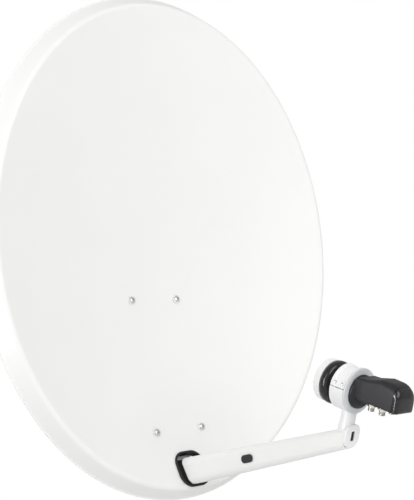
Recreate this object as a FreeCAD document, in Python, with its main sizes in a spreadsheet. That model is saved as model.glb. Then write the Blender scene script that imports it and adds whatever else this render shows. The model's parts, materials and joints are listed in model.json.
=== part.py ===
import FreeCAD, Part
import Sketcher
import math
import os
import re

# Offset satellite dish for a 50 mm mast, in millimetres, +Z up along the mast, dish facing -Y.
# The origin is on the mast's axis, half way up the mast clamp.
# The reflector is a piece of a paraboloid. Its own frame, "beam", has its origin at the paraboloid's
# vertex, Y away from the satellite and Z up across the beam. The other frames are "plate", square to
# the four reflector bolts, "arm", along the feed arm, and "head", whose Y points at the middle of the
# dish from the horn, just above and behind the paraboloid's focus.

Vector = FreeCAD.Vector

SIZES = [
    ("focalLength", 356, "paraboloid's focal length"),
    ("apertureRadius", 368, "reflecting surface, seen along the beam"),
    ("apertureOffset", 367, "aperture centre above the paraboloid's axis"),
    ("beamElevation", 33, "beam above the horizon as stored, degrees"),
    ("sheetThick", 1.2, "reflector sheet"),
    ("lipSlope", 23, "bowl's slope at its edge from the rim plane, degrees"),
    ("lipRadius", 8, "roll between bowl and flange"),
    ("lipProud", 0.35, "roll and flange beyond the sheet on each side"),
    ("lipOverlap", 1.2, "roll over the bowl's edge"),
    ("flangeWidth", 24.6, "rim plane, bowl edge to flange end"),
    ("flangeDrop", 26.5, "rim plane to flange end"),
    ("hemRadius", 1.9, "rolled hem at the flange end"),
    ("boltHalf", 52.2, "reflector bolts from the middle plane"),
    ("boltLow", 97, "lower reflector bolts, height in the beam frame"),
    ("boltHigh", 321.3, "upper reflector bolts, height in the beam frame"),
    ("boltShank", 3, "M6 shank radius"),
    ("boltHead", 6.4, "dome head radius"),
    ("boltDome", 3.2, "dome head height"),
    ("boltSocket", 2.3, "hex socket, centre to corner"),
    ("shankGap", 0.3, "clearance round a fixed bolt"),
    ("washerRadius", 8.2, "front washer"),
    ("washerThick", 2.6, "front washer at its middle"),
    ("seatGap", 0.05, "between faces that are bolted together"),
    ("slideGap", 0.3, "radial clearance of a sliding or turning fit"),
    ("cheekGap", 0.25, "between cheeks that turn on each other"),
    ("plateStand", 14, "bracket plate behind the bolt plane"),
    ("plateThick", 2.5, "back bracket sheet"),
    ("plateHalf", 66, "back bracket half width"),
    ("plateEdge", 18, "bracket plate past the bolts"),
    ("tabHalf", 27, "lower tab half width"),
    ("tabLow", 224, "lower tab below the bolt centre"),
    ("spacerRadius", 12, "spacer between reflector and plate"),
    ("pivotBack", 75, "tilt pivot behind the bolt plane"),
    ("pivotUp", 60, "tilt pivot above the bolt centre"),
    ("pivotReach", 85, "tilt pivot in front of the mast axis"),
    ("pivotHeight", 24, "tilt pivot above the clamp's middle"),
    ("pivotRadius", 4, "M8 pivot bolt"),
    ("pivotFit", 0.06, "running clearance at the pivot"),
    ("slotRadius", 60, "tilt slot about the pivot"),
    ("slotHalf", 4.5, "half the tilt slot's width"),
    ("lockAngle", -13.6, "lock bolt from straight below the pivot, degrees"),
    ("tiltDown", 23, "travel to the lowest beam, degrees"),
    ("tiltUp", 17, "travel to the highest beam, degrees"),
    ("slotSpare", 1.5, "slot beyond the travel, degrees"),
    ("cheekHalf", 33, "outside of the dish cheeks from the middle"),
    ("cheekThick", 3, "dish cheek sheet"),
    ("mastRadius", 25, "mast"),
    ("mastCheek", 4, "mast bracket cheek"),
    ("webThick", 5, "mast bracket web"),
    ("webBack", 32, "back of the web from the mast axis"),
    ("webHalf", 62, "web half width"),
    ("bracketTop", 56, "mast bracket above the clamp's middle"),
    ("bracketLow", 60, "mast bracket below the clamp's middle"),
    ("jawMiddle", 40, "clamp jaw and saddle, height from the middle"),
    ("jawTall", 22, "clamp jaw and saddle, height of each"),
    ("jawFace", 10, "jaw and saddle faces from the mast axis"),
    ("jawDeep", 11, "jaw ear thickness"),
    ("jawHump", 14, "jaw back behind the ear"),
    ("clampHalf", 48, "clamp bolts from the middle plane"),
    ("clampShank", 4, "M8 clamp bolt"),
    ("clampEnd", 62, "clamp bolt end behind the mast axis"),
    ("nutCorner", 7.5, "M8 nut, centre to corner"),
    ("nutTall", 6.5, "M8 nut height"),
    ("discRadius", 9, "M8 washer"),
    ("discThick", 1.6, "M8 washer thickness"),
    ("headDome", 5, "M8 round head height"),
    ("openingHeight", 26.4, "arm opening above the vertex"),
    ("openingHalf", 30.5, "arm opening half width"),
    ("openingTall", 31, "arm opening half height"),
    ("openingCorner", 21, "arm opening corner radius"),
    ("collarWall", 2.2, "trim collar wall"),
    ("collarLip", 1.6, "trim collar lip beyond the opening"),
    ("collarProud", 1.4, "trim collar in front of the sheet"),
    ("collarDeep", 8, "trim collar behind the sheet"),
    ("armRootHeight", 23.2, "arm axis on the reflector, above the vertex"),
    ("armRootWide", 46, "arm width at the reflector"),
    ("armRootTall", 46.5, "arm height at the reflector"),
    ("armTipWide", 30, "arm width at its tip"),
    ("armTipTall", 30.2, "arm height at its tip"),
    ("armCorner", 9, "arm edge radius"),
    ("armWall", 2, "arm wall"),
    ("armStart", 8, "arm's cut end in front of the vertex"),
    ("headRise", 4.2, "head's axis above the focus"),
    ("headBehind", 4, "head's origin behind the focus, away from the dish"),
    ("armEnd", 50.5, "arm tip behind the head's origin"),
    ("armDrop", 72.4, "arm tip axis below the head's axis"),
    ("socketGap", 0.4, "arm socket inside the arm"),
    ("socketDeep", 55, "arm socket inside the arm, length"),
    ("plugAlong", 158, "side plug from the arm's root"),
    ("plugLong", 25.5, "side plug length"),
    ("plugTall", 13, "side plug height"),
    ("plugDeep", 7, "side plug depth"),
    ("capWide", 31, "arm end cap width"),
    ("capTall", 35.5, "arm end cap height"),
    ("capDrop", 69.5, "arm end cap centre below the head's axis"),
    ("capThick", 3.5, "arm end cap"),
    ("slotWide", 7.6, "cap slot width"),
    ("slotTall", 15, "cap slot height"),
    ("neckWide", 22, "holder neck across"),
    ("neckLong", 27, "holder neck along the head"),
    ("ringFront", 22, "holder ring front behind the head's origin"),
    ("ringLong", 26.8, "holder ring length"),
    ("ringRadius", 34.6, "holder ring outside"),
    ("sleeveRadius", 26, "adapter sleeve outside"),
    ("splitHeight", 3.5, "ring split above the head's axis"),
    ("splitGap", 1, "gap in the split"),
    ("screwHalf", 30.4, "ring screws from the middle plane"),
    ("screwShank", 1.5, "M3 ring screw"),
    ("screwHead", 2.6, "ring screw head radius"),
    ("screwSeat", 8.5, "ring screw seat above the head's axis"),
    ("screwDeep", 9, "ring screw below the split"),
    ("collarRadius", 35.2, "adapter flange outside"),
    ("collarThick", 3.4, "adapter flange"),
    ("sleeveNose", 16, "adapter sleeve front behind the head's origin"),
    ("tubeRadius", 20, "converter neck"),
    ("boreRadius", 9.5, "waveguide"),
    ("hornMouth", 25, "horn mouth radius"),
    ("ringBulge", 33.3, "black ring outside"),
    ("capRadius", 32.6, "front cap outside"),
    ("capBack", 3.2, "front cap skirt end ahead of the head's origin"),
    ("hornFront", 5, "horn mouth ahead of the head's origin"),
    ("capFront", 11.5, "front cap face ahead of the head's origin"),
    ("bossRadius", 26, "housing boss"),
    ("bossLong", 6, "housing boss length"),
    ("housingHalf", 21.5, "housing half width"),
    ("housingTop", 34.6, "housing top above the head's axis"),
    ("housingBase", 7.4, "housing underside below the head's axis"),
    ("housingWall", 2.2, "housing wall"),
    ("hoodStart", 128, "rear hood seam behind the head's origin"),
    ("housingEnd", 138, "housing end behind the head's origin"),
    ("endArch", 22, "radius of the housing's top over its rear end"),
    ("endCorner", 6, "plan radius of the housing's rear corners"),
    ("hoodRound", 12, "housing's upper long edges"),
    ("baseRound", 3, "housing's lower long edges"),
    ("portHalf", 11.5, "connectors from the middle plane"),
    ("portFirst", 87, "first connector row behind the head's origin"),
    ("portPitch", 20, "between the connector rows"),
    ("portLow", 18.2, "connector ends below the head's axis"),
    ("portRadius", 4.8, "connector thread"),
    ("portHex", 6.9, "connector hex, centre to corner"),
]

# Angles and places that follow from the sizes, as sheet formulas.
PLACES = [
    ("beamTurn", "beamElevation * 1 deg"),
    ("rimTilt", "atan(apertureOffset / (2 * focalLength))"),
    ("plateTilt", "atan((boltHigh + boltLow) / (4 * focalLength))"),
    ("plateTurn", "beamTurn - plateTilt"),
    ("feedAngle", "atan((apertureOffset + apertureRadius) / (2 * focalLength))"
                  " + atan((apertureOffset - apertureRadius) / (2 * focalLength))"),
    ("headTurn", "feedAngle - beamTurn"),
    ("boltMiddle", "(boltHigh + boltLow) / 2"),
    ("boltDepth", "(boltHalf * boltHalf + (boltLow * boltLow + boltHigh * boltHigh) / 2) / (4 * focalLength)"),
    ("boltSpan", "(boltHigh - boltLow) / (2 * cos(plateTilt))"),
    ("plateY", "-pivotReach - pivotBack * cos(plateTurn) - pivotUp * sin(plateTurn)"),
    ("plateZ", "pivotHeight + pivotBack * sin(plateTurn) - pivotUp * cos(plateTurn)"),
    ("vertexY", "plateY + boltDepth * cos(beamTurn) - boltMiddle * sin(beamTurn)"),
    ("vertexZ", "plateZ - boltDepth * sin(beamTurn) - boltMiddle * cos(beamTurn)"),
    ("focusY", "vertexY - focalLength * cos(beamTurn)"),
    ("focusZ", "vertexZ + focalLength * sin(beamTurn)"),
    ("headY", "focusY - headBehind * cos(headTurn) - headRise * sin(headTurn)"),
    ("headZ", "focusZ - headBehind * sin(headTurn) + headRise * cos(headTurn)"),
    ("tipY", "headY - armEnd * cos(headTurn) + armDrop * sin(headTurn)"),
    ("tipZ", "headZ - armEnd * sin(headTurn) - armDrop * cos(headTurn)"),
    ("rootDepth", "armRootHeight * armRootHeight / (4 * focalLength)"),
    ("rootY", "vertexY - rootDepth * cos(beamTurn) + armRootHeight * sin(beamTurn)"),
    ("rootZ", "vertexZ + rootDepth * sin(beamTurn) + armRootHeight * cos(beamTurn)"),
    ("armTurn", "atan((tipZ - rootZ) / (rootY - tipY))"),
    ("armLength", "(rootY - tipY) / cos(armTurn)"),
    ("lockTurn", "lockAngle * 1 deg"),
    ("lockY", "-pivotReach + slotRadius * sin(lockTurn)"),
    ("lockZ", "pivotHeight - slotRadius * cos(lockTurn)"),
    ("slotLow", "lockTurn + plateTurn - (tiltDown + slotSpare) * 1 deg"),
    ("slotHigh", "lockTurn + plateTurn + (tiltUp + slotSpare) * 1 deg"),
    ("nutSeat", "jawFace + jawDeep + discThick"),
    ("ringBack", "ringFront + ringLong"),
    ("bossFront", "ringBack + collarThick + seatGap + slideGap"),
    ("neckBack", "armEnd + seatGap + capThick"),
]

sizeNames = {name for name, value, note in SIZES}
placeNames = {name for name, formula in PLACES}

doc = FreeCAD.newDocument("SatelliteDish")
sizeSheet = doc.addObject("Spreadsheet::Sheet", "Sizes")
for row, (name, number, note) in enumerate(SIZES, 1):
    sizeSheet.set(f"A{row}", name)
    sizeSheet.set(f"B{row}", str(number))
    sizeSheet.setAlias(f"B{row}", name)
    sizeSheet.set(f"C{row}", note)
doc.recompute()


def bound(text, ownSheet=""):
    """Turn the short names in a formula into references to the two sheets."""
    def full(match):
        word = match.group(0)
        if word in sizeNames:
            return "Sizes." + word
        if word in placeNames:
            return ownSheet + word
        return word
    return re.sub(r"[A-Za-z]\w*", full, str(text))


placeSheet = doc.addObject("Spreadsheet::Sheet", "Places")
for row, (name, formula) in enumerate(PLACES, 1):
    placeSheet.set(f"A{row}", name)
    placeSheet.set(f"B{row}", "=" + bound(formula))
    placeSheet.setAlias(f"B{row}", name)
    doc.recompute()


def linked(text):
    return bound(text, "Places.")


def value(text):
    """The present number of a formula, in millimetres or degrees."""
    found = placeSheet.evalExpression(linked(text))
    return float(getattr(found, "Value", found))


FRAMES = {
    "mast": "placement(vector(0; 0; 0); rotation(vector(1; 0; 0); 0 deg))",
    "beam": "placement(vector(0; vertexY; vertexZ); rotation(vector(1; 0; 0); -beamTurn))",
    "plate": "placement(vector(0; plateY; plateZ); rotation(vector(1; 0; 0); -plateTurn))",
    "arm": "placement(vector(0; rootY; rootZ); rotation(vector(1; 0; 0); -armTurn))",
    "head": "placement(vector(0; headY; headZ); rotation(vector(1; 0; 0); headTurn))",
}
# Turns that lay an object's own Z along another direction of its frame.
ALONG = {
    "+Z": "rotation(vector(1; 0; 0); 0 deg)",
    "-Z": "rotation(vector(1; 0; 0); 180 deg)",
    "+Y": "rotation(vector(1; 0; 0); -90 deg)",
    "-Y": "rotation(vector(1; 0; 0); 90 deg)",
    "+X": "rotation(vector(0; 1; 0); 90 deg)",
    "-X": "rotation(vector(0; 1; 0); -90 deg)",
}
nodes = {}


def keep(item, label):
    item.Label = label
    nodes[label] = item
    return item


def place(item, frame, at=("0", "0", "0"), along="+Z"):
    """Bind an object's Placement to a frame, a point in it and a direction of its Z axis."""
    here = f"placement(vector({at[0]}; {at[1]}; {at[2]}); {ALONG[along]})"
    item.setExpression("Placement", linked(FRAMES[frame] + " * " + here))
    return item


def setSizes(item, **formulas):
    for key, formula in formulas.items():
        item.setExpression(key, linked(formula))
    return item


def box(name, frame, low, size):
    """A box from its lowest corner in a frame."""
    made = doc.addObject("Part::Box", name)
    setSizes(made, Length=size[0], Width=size[1], Height=size[2])
    return place(made, frame, low)


def cylinder(name, frame, at, along, radius, height):
    made = doc.addObject("Part::Cylinder", name)
    setSizes(made, Radius=radius, Height=height)
    return place(made, frame, at, along)


def hexPrism(name, frame, at, along, corner, height):
    made = doc.addObject("Part::Prism", name)
    made.Polygon = 6
    setSizes(made, Circumradius=corner, Height=height)
    return place(made, frame, at, along)


def cut(name, base, tool):
    made = doc.addObject("Part::Cut", name)
    made.Base = base
    made.Tool = tool
    return made


def fuse(name, pieces):
    made = doc.addObject("Part::MultiFuse", name)
    made.Shapes = pieces
    made.Refine = True
    return made


def group(label, pieces):
    made = doc.addObject("Part::Compound", label)
    made.Links = pieces
    return keep(made, label)


def polygon(sketch, points):
    """Straight outline whose corners are bound to formulas."""
    spots = [Vector(value(x), value(y), 0) for x, y in points]
    first = sketch.GeometryCount
    count = len(points)
    for i in range(count):
        sketch.addGeometry(Part.LineSegment(spots[i], spots[(i + 1) % count]))
    for i in range(count):
        nextLine = first + (i + 1) % count
        sketch.addConstraint(Sketcher.Constraint("Coincident", first + i, 2, nextLine, 1))
    for i, (x, y) in enumerate(points):
        for kind, formula in (("DistanceX", x), ("DistanceY", y)):
            index = sketch.addConstraint(Sketcher.Constraint(kind, -1, 1, first + i, 1, value(formula)))
            sketch.setExpression(f"Constraints[{index}]", linked(formula))


def circle(sketch, x, y, radius):
    """Circle whose centre and radius are bound to formulas."""
    item = sketch.addGeometry(Part.Circle(Vector(value(x), value(y), 0), Vector(0, 0, 1), value(radius)))
    index = sketch.addConstraint(Sketcher.Constraint("Radius", item, value(radius)))
    sketch.setExpression(f"Constraints[{index}]", linked(radius))
    for kind, formula in (("DistanceX", x), ("DistanceY", y)):
        index = sketch.addConstraint(Sketcher.Constraint(kind, -1, 1, item, 3, value(formula)))
        sketch.setExpression(f"Constraints[{index}]", linked(formula))


def newBody(name, frame):
    body = doc.addObject("PartDesign::Body", name)
    place(body, frame)
    return body


def newSketch(body, name, plane, offset="0"):
    """A sketch on one of the body's own origin planes, moved along the plane's normal."""
    sketch = body.newObject("Sketcher::SketchObject", name)
    support = [f for f in body.Origin.OriginFeatures if f.Role == plane][0]
    sketch.AttachmentSupport = [(support, "")]
    sketch.MapMode = "FlatFace"
    sketch.setExpression("AttachmentOffset.Base.z", linked(offset))
    return sketch


def pad(body, sketch, length, middle=False, reverse=False):
    made = body.newObject("PartDesign::Pad", sketch.Name + "Pad")
    made.Profile = sketch
    setSizes(made, Length=length)
    if middle:
        made.Midplane = True
    made.Reversed = reverse
    sketch.Visibility = False
    doc.recompute()
    return made


def pocket(body, sketch, length=None, middle=False, reverse=False):
    """Cut a sketch out of the body, through all of it when no length is given."""
    before = body.Shape.Volume
    made = body.newObject("PartDesign::Pocket", sketch.Name + "Pocket")
    made.Profile = sketch
    if length is None:
        made.Type = 1
    else:
        setSizes(made, Length=length)
    if middle:
        made.Midplane = True
    made.Reversed = reverse
    doc.recompute()
    assert body.Shape.Volume < before, f"{made.Name} cuts nothing"
    return made


def mirrored(body, features, plane="YZ_Plane"):
    made = body.newObject("PartDesign::Mirrored", features[0].Name + "Mirror")
    made.Originals = features
    support = [f for f in body.Origin.OriginFeatures if f.Role == plane][0]
    made.MirrorPlane = (support, [""])
    body.Tip = made
    doc.recompute()
    return made


def fillet(body, radius, chosen):
    """Round the edges of the body's last feature that the test chooses."""
    base = body.Tip
    names = [f"Edge{i}" for i, edge in enumerate(base.Shape.Edges, 1) if chosen(edge)]
    assert names, f"no edge to round on {body.Name}"
    made = body.newObject("PartDesign::Fillet", body.Name + "Round" + str(len(body.Group)))
    made.Base = (base, names)
    setSizes(made, Radius=radius)
    doc.recompute()
    return made


def runs(edge, axis):
    """True for a straight edge along one axis of its body."""
    if not isinstance(edge.Curve, Part.Line):
        return False
    line = edge.Vertexes[-1].Point - edge.Vertexes[0].Point
    line.normalize()
    return abs(abs(line.dot(axis)) - 1) < 1e-4


def revolved(name, outline, frame, spots, along, label=None):
    """A turned part, from its radius and height outline, at each spot of a frame."""
    sketch = doc.addObject("Sketcher::SketchObject", name + "Outline")
    sketch.Placement = FreeCAD.Placement(Vector(0, 0, 0), FreeCAD.Rotation(Vector(1, 0, 0), 90))
    polygon(sketch, outline)
    doc.recompute()
    made = []
    for number, spot in enumerate(spots):
        turned = doc.addObject("Part::Revolution", f"{name}{number}")
        turned.Source = sketch
        turned.Axis = Vector(0, 0, 1)
        turned.Base = Vector(0, 0, 0)
        turned.Angle = 360
        turned.Solid = True
        place(turned, frame, spot, along)
        made.append(turned)
    if label:
        group(label, made)
    return made


def roundHeadBolt(name, label, frame, spots, along, shank, length, head="discRadius - 0.5",
                  dome="headDome"):
    """Round-head bolt with its head's seat at the spot and its shank along Z."""
    outline = [("0", f"-({dome})"), (f"({head}) * 0.55", f"-({dome}) * 0.92"),
               (f"({head}) * 0.87", f"-({dome}) * 0.6"),
               (head, f"-({dome}) * 0.12"), (head, "0"), (shank, "0"), (shank, f"{length} - 1"),
               (f"{shank} - 0.8", length), ("0", length)]
    return revolved(name, outline, frame, spots, along, label)


def washers(name, label, frame, spots, along, bore, outside="discRadius", thick="discThick"):
    outline = [(bore, "0"), (outside, "0"), (outside, thick), (bore, thick)]
    return revolved(name, outline, frame, spots, along, label)


def nuts(name, label, frame, spots, along, bore, corner="nutCorner", tall="nutTall"):
    made = []
    for number, spot in enumerate(spots):
        blank = hexPrism(f"{name}Hex{number}", frame, spot, along, corner, tall)
        hole = cylinder(f"{name}Bore{number}", frame, spot, along, bore, tall)
        made.append(cut(f"{name}{number}", blank, hole))
    return group(label, made)


X, Y, Z = Vector(1, 0, 0), Vector(0, 1, 0), Vector(0, 0, 1)


# Reflector: a paraboloid sheet cut round, with a rolled lip and a flange that slopes back
def paraboloidBehind(focal, shift, half, low, high, deep):
    """All space up to deep behind the sheet y = shift - (x*x + z*z) / (4 * focal)."""
    surface = Part.BezierSurface()
    surface.increase(2, 2)
    acrossX, squareX = [-half, 0, half], [half * half, -half * half, half * half]
    upZ, squareZ = [low, (low + high) / 2, high], [low * low, low * high, high * high]
    for i in range(3):
        for j in range(3):
            depth = shift - (squareX[i] + squareZ[j]) / (4 * focal)
            surface.setPole(i + 1, j + 1, Vector(acrossX[i], depth, upZ[j]))
    return surface.toShape().extrude(Vector(0, deep, 0))


focal, radius, offset = value("focalLength"), value("apertureRadius"), value("apertureOffset")
sheet = value("sheetThick")
spare = 25
low, high = offset - radius - spare, offset + radius + spare
deep = 2 * radius
behindFront = paraboloidBehind(focal, 0, radius + spare, low, high, deep)
backFocal = focal / (1 - sheet / (2 * focal))
behindBack = paraboloidBehind(backFocal, sheet, radius + spare, low, high, deep * 2)
depthMost = high * high / (2 * focal)
drum = Part.makeCylinder(radius, depthMost + 2 * spare, Vector(0, -depthMost, offset), Y)
bowl = drum.common(behindFront).cut(behindBack)

tilt = math.radians(value("rimTilt"))
rimUp = Vector(0, -math.sin(tilt), math.cos(tilt))
rimForward = Vector(0, -math.cos(tilt), -math.sin(tilt))
rimCentre = Vector(0, -(radius * radius + offset * offset) / (4 * focal), offset)
halfLong = radius / math.cos(tilt)


def rimEllipse(out, forward):
    """The rim's outline, moved outwards and forwards by the same amounts all the way round."""
    middle = rimCentre + rimForward * forward
    return Part.Ellipse(middle + rimUp * (halfLong + out), middle + X * (radius + out), middle).toShape()


def arcPoints(centre, size, first, last, steps):
    """Points on an arc of the rim's section, as outward and forward distances."""
    angles = [first + (last - first) * i / steps for i in range(steps + 1)]
    return [(centre[0] + size * math.cos(a), centre[1] + size * math.sin(a)) for a in angles]


# The roll, flange and hem are one strip, a little thicker than the sheet, whose pointed inner end takes
# in the bowl's edge. Its middle line leaves the bowl along the bowl's slope, turns round the roll and
# runs straight down the flange.
slope = math.radians(value("lipSlope"))
lipRadius, half = value("lipRadius"), sheet / 2 + value("lipProud")
flangeWidth, flangeDrop = value("flangeWidth"), value("flangeDrop")
rollCentre = (lipRadius * math.sin(slope), -lipRadius * math.cos(slope))
middleRadius = lipRadius - sheet / 2
reach = math.hypot(flangeWidth - rollCentre[0], flangeDrop + rollCentre[1])
begin = math.pi / 2 + slope
leave = math.atan2(-flangeDrop - rollCentre[1], flangeWidth - rollCentre[0]) + math.acos(lipRadius / reach)
overlap = value("lipOverlap")
pointed = (rollCentre[0] + middleRadius * math.cos(begin) - (overlap + half) * math.cos(slope),
           rollCentre[1] + middleRadius * math.sin(begin) - (overlap + half) * math.sin(slope))
hemRadius = value("hemRadius")
hemCentre = (flangeWidth - math.cos(leave) * sheet / 2, -flangeDrop - math.sin(leave) * sheet / 2)
hemStart = math.asin(half / hemRadius)
alongFlange = leave + math.pi / 2
section = [pointed]
for size, first, last in ((middleRadius + half, begin, leave), (middleRadius - half, leave, begin)):
    bend = arcPoints(rollCentre, size, first, last, 6)
    end = bend[0] if first == begin else bend[-1]
    shoulder = (end[0] - overlap * math.cos(slope), end[1] - overlap * math.sin(slope))
    if first == begin:
        section += [shoulder] + bend
        section += arcPoints(hemCentre, hemRadius, alongFlange - hemStart,
                             alongFlange - 2 * math.pi + hemStart, 8)
    else:
        section += bend + [shoulder]
loops = [rimEllipse(out, forward) for out, forward in section]
skin = Part.makeShell([Part.makeRuledSurface(loops[i - 1], loops[i]) for i in range(len(loops))])
skin.sewShape()
rim = Part.makeSolid(skin)
reflectorShape = bowl.fuse(rim)

boltTilt = math.radians(value("plateTilt"))
boltLine = Vector(0, math.cos(boltTilt), math.sin(boltTilt))
for side in (-1, 1):
    for height in (value("boltLow"), value("boltHigh")):
        across = side * value("boltHalf")
        spot = Vector(across, -(across * across + height * height) / (4 * focal), height)
        hole = Part.makeCylinder(value("boltShank + shankGap"), 4 * spare, spot - boltLine * 2 * spare,
                                 boltLine)
        reflectorShape = reflectorShape.cut(hole)


def roundedWindow(halfWide, halfTall, corner, front, back):
    """Rounded block round the arm opening's centre, from front to back along the beam."""
    middle = value("openingHeight")
    block = Part.makeBox(2 * halfWide, back - front, 2 * halfTall,
                         Vector(-halfWide, front, middle - halfTall))
    sides = [edge for edge in block.Edges if runs(edge, Y)]
    return block.makeFillet(corner, sides)


window = roundedWindow(value("openingHalf"), value("openingTall"), value("openingCorner"), -spare, spare)
reflector = doc.addObject("Part::Feature", "Reflector")
reflector.Shape = reflectorShape.cut(window)
place(keep(reflector, "reflector"), "beam")

# Two solids that fill all space behind the reflector's front and back faces
faceTool = doc.addObject("Part::Feature", "FrontFaceTool")
faceTool.Shape = behindFront
place(faceTool, "beam")
fullBack = paraboloidBehind(backFocal, sheet + value("seatGap"), radius + spare, low, high, deep)
inFront = Part.makeBox(2 * radius, 3 * deep, 2 * deep, Vector(-radius, -2 * deep, low)).cut(fullBack)
backTool = doc.addObject("Part::Feature", "BackFaceTool")
backTool.Shape = inFront
place(backTool, "beam")

# Reflector bolts, their shaped front washers, rear spacers and nuts
boltSpots = [(side + "boltHalf", "0", rise + "boltSpan") for side in "-+" for rise in "-+"]
bolts = []
headSeat = "-(washerThick)"
outline = [("0", "-(boltDome)"), ("boltHead * 0.6", "-(boltDome) * 0.86"),
           ("boltHead * 0.9", "-(boltDome) * 0.45"),
           ("boltHead", "0"), ("boltShank", "0"), ("boltShank",
                                                   "washerThick + plateStand + plateThick + 9"),
           ("0", "washerThick + plateStand + plateThick + 9")]
headSpots = [(x, headSeat, z) for x, y, z in boltSpots]
for number, turned in enumerate(revolved("ReflectorBoltBlank", outline, "plate", headSpots, "+Y")):
    x, y, z = headSpots[number]
    socket = hexPrism(f"ReflectorSocket{number}", "plate", (x, f"{headSeat} - boltDome * 0.25", z), "-Y",
                      "boltSocket", "boltDome")
    bolts.append(cut(f"ReflectorBolt{number}", turned, socket))
group("reflector_bolts", bolts)

ringSpots = [(x, headSeat + " + seatGap", z) for x, y, z in boltSpots]
discs = washers("FrontWasherBlank", None, "plate", ringSpots, "+Y", "boltShank + shankGap", "washerRadius",
                "washerThick * 3")
trimmed = []
for number, disc in enumerate(discs):
    trimmed.append(cut(f"FrontWasher{number}", disc, faceTool))
group("front_washers", trimmed)

spacerSpots = [(x, "-12", z) for x, y, z in boltSpots]
blanks = washers("SpacerBlank", None, "plate", spacerSpots, "+Y", "boltShank + shankGap", "spacerRadius",
                 "plateStand - seatGap + 12")
spacers = []
for number, blank in enumerate(blanks):
    spacers.append(cut(f"Spacer{number}", blank, backTool))
group("bracket_spacers", spacers)
nutSpots = [(x, "plateStand + plateThick + seatGap", z) for x, y, z in boltSpots]
nuts("ReflectorNut", "reflector_nuts", "plate", nutSpots, "+Y", "boltShank + seatGap", "5.9", "5")

# Back bracket: a pressed plate on the reflector with two cheeks that carry the tilt pivot and slots
bracket = newBody("BackBracket", "plate")
plateTop = "boltSpan + plateEdge"
outline = [("-tabHalf", "-tabLow"), ("tabHalf", "-tabLow"), ("tabHalf", "-(boltSpan) - 34"),
           ("plateHalf", f"-({plateTop})"),
           ("plateHalf", "-(boltSpan) + 22"), ("plateHalf - 18", "-(boltSpan) + 52"),
           ("plateHalf - 18", "boltSpan - 52"),
           ("plateHalf", "boltSpan - 22"), ("plateHalf", plateTop), ("-plateHalf", plateTop),
           ("-plateHalf", "boltSpan - 22"), ("-plateHalf + 18", "boltSpan - 52"),
           ("-plateHalf + 18", "-(boltSpan) + 52"),
           ("-plateHalf", "-(boltSpan) + 22"), ("-plateHalf", f"-({plateTop})"),
           ("-tabHalf", "-(boltSpan) - 34")]
sketch = newSketch(bracket, "BracketPlate", "XZ_Plane", "-(plateStand + plateThick)")
polygon(sketch, outline)
pad(bracket, sketch, "plateThick")
fillet(bracket, "6", lambda edge: runs(edge, Y))
sketch = newSketch(bracket, "BracketCheek", "YZ_Plane", "cheekHalf - cheekThick")
polygon(sketch, [("plateStand", "pivotUp + 44"), ("pivotBack - 18", "pivotUp + 22"),
                 ("pivotBack + 9", "pivotUp + 19"),
                 ("pivotBack + 20", "pivotUp + 4"), ("pivotBack + 31", "pivotUp - slotRadius + 6"),
                 ("pivotBack + 24", "pivotUp - slotRadius - 13"),
                 ("pivotBack - 26", "pivotUp - slotRadius - 15"),
                 ("plateStand", "pivotUp - slotRadius - 46")])
cheek = pad(bracket, sketch, "cheekThick")
mirrored(bracket, [cheek])
fillet(bracket, "8", lambda edge: runs(edge, X) and edge.BoundBox.YMin > value("plateStand + plateThick + 20"))
sketch = newSketch(bracket, "BracketPivot", "YZ_Plane")
circle(sketch, "pivotBack", "pivotUp", "pivotRadius + pivotFit")
pocket(bracket, sketch, "4 * cheekHalf", middle=True)
sketch = newSketch(bracket, "BracketHoles", "XZ_Plane")
for x, y, z in boltSpots:
    circle(sketch, x, z, "boltShank + shankGap")
for rise in ("-tabLow + 22", "-tabLow + 46"):
    circle(sketch, "0", rise, "boltShank + shankGap")
pocket(bracket, sketch, "4 * plateStand", middle=True)
sketch = newSketch(bracket, "BracketWindow", "XZ_Plane")
polygon(sketch, [("-20", "-46"), ("20", "-46"), ("20", "64"), ("-20", "64")])
pocket(bracket, sketch, "4 * plateStand", middle=True)


def arcSlot(sketch, x, y, arcRadius, half, lowAngle, highAngle):
    """Curved slot about a centre; its angles count from straight down towards the sketch's X."""
    centre = Vector(value(x), value(y), 0)
    middle = value(arcRadius)
    wide = value(half)
    first, last = math.radians(value(lowAngle)) - math.pi / 2, math.radians(value(highAngle)) - math.pi / 2
    ends = [centre + Vector(math.cos(a), math.sin(a), 0) * middle for a in (first, last)]
    normal = Vector(0, 0, 1)
    outer = sketch.addGeometry(Part.ArcOfCircle(Part.Circle(centre, normal, middle + wide), first, last))
    inner = sketch.addGeometry(Part.ArcOfCircle(Part.Circle(centre, normal, middle - wide), first, last))
    start = sketch.addGeometry(Part.ArcOfCircle(Part.Circle(ends[0], normal, wide), first + math.pi,
                                                first + 2 * math.pi))
    finish = sketch.addGeometry(Part.ArcOfCircle(Part.Circle(ends[1], normal, wide), last, last + math.pi))
    for pair in ((outer, 1, start, 2), (inner, 1, start, 1), (outer, 2, finish, 1), (inner, 2, finish, 2)):
        sketch.addConstraint(Sketcher.Constraint("Tangent", *pair))
    sketch.addConstraint(Sketcher.Constraint("Coincident", outer, 3, inner, 3))
    toEnd = {start: lowAngle, finish: highAngle}
    rules = [("DistanceX", (-1, 1, outer, 3), x), ("DistanceY", (-1, 1, outer, 3), y),
             ("Radius", (outer,), f"{arcRadius} + {half}"), ("Radius", (inner,), f"{arcRadius} - ({half})")]
    for item, angle in toEnd.items():
        rules.append(("DistanceX", (-1, 1, item, 3), f"{x} + {arcRadius} * sin({angle})"))
    for kind, ends, formula in rules:
        index = sketch.addConstraint(Sketcher.Constraint(kind, *ends, value(formula)))
        sketch.setExpression(f"Constraints[{index}]", linked(formula))


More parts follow.
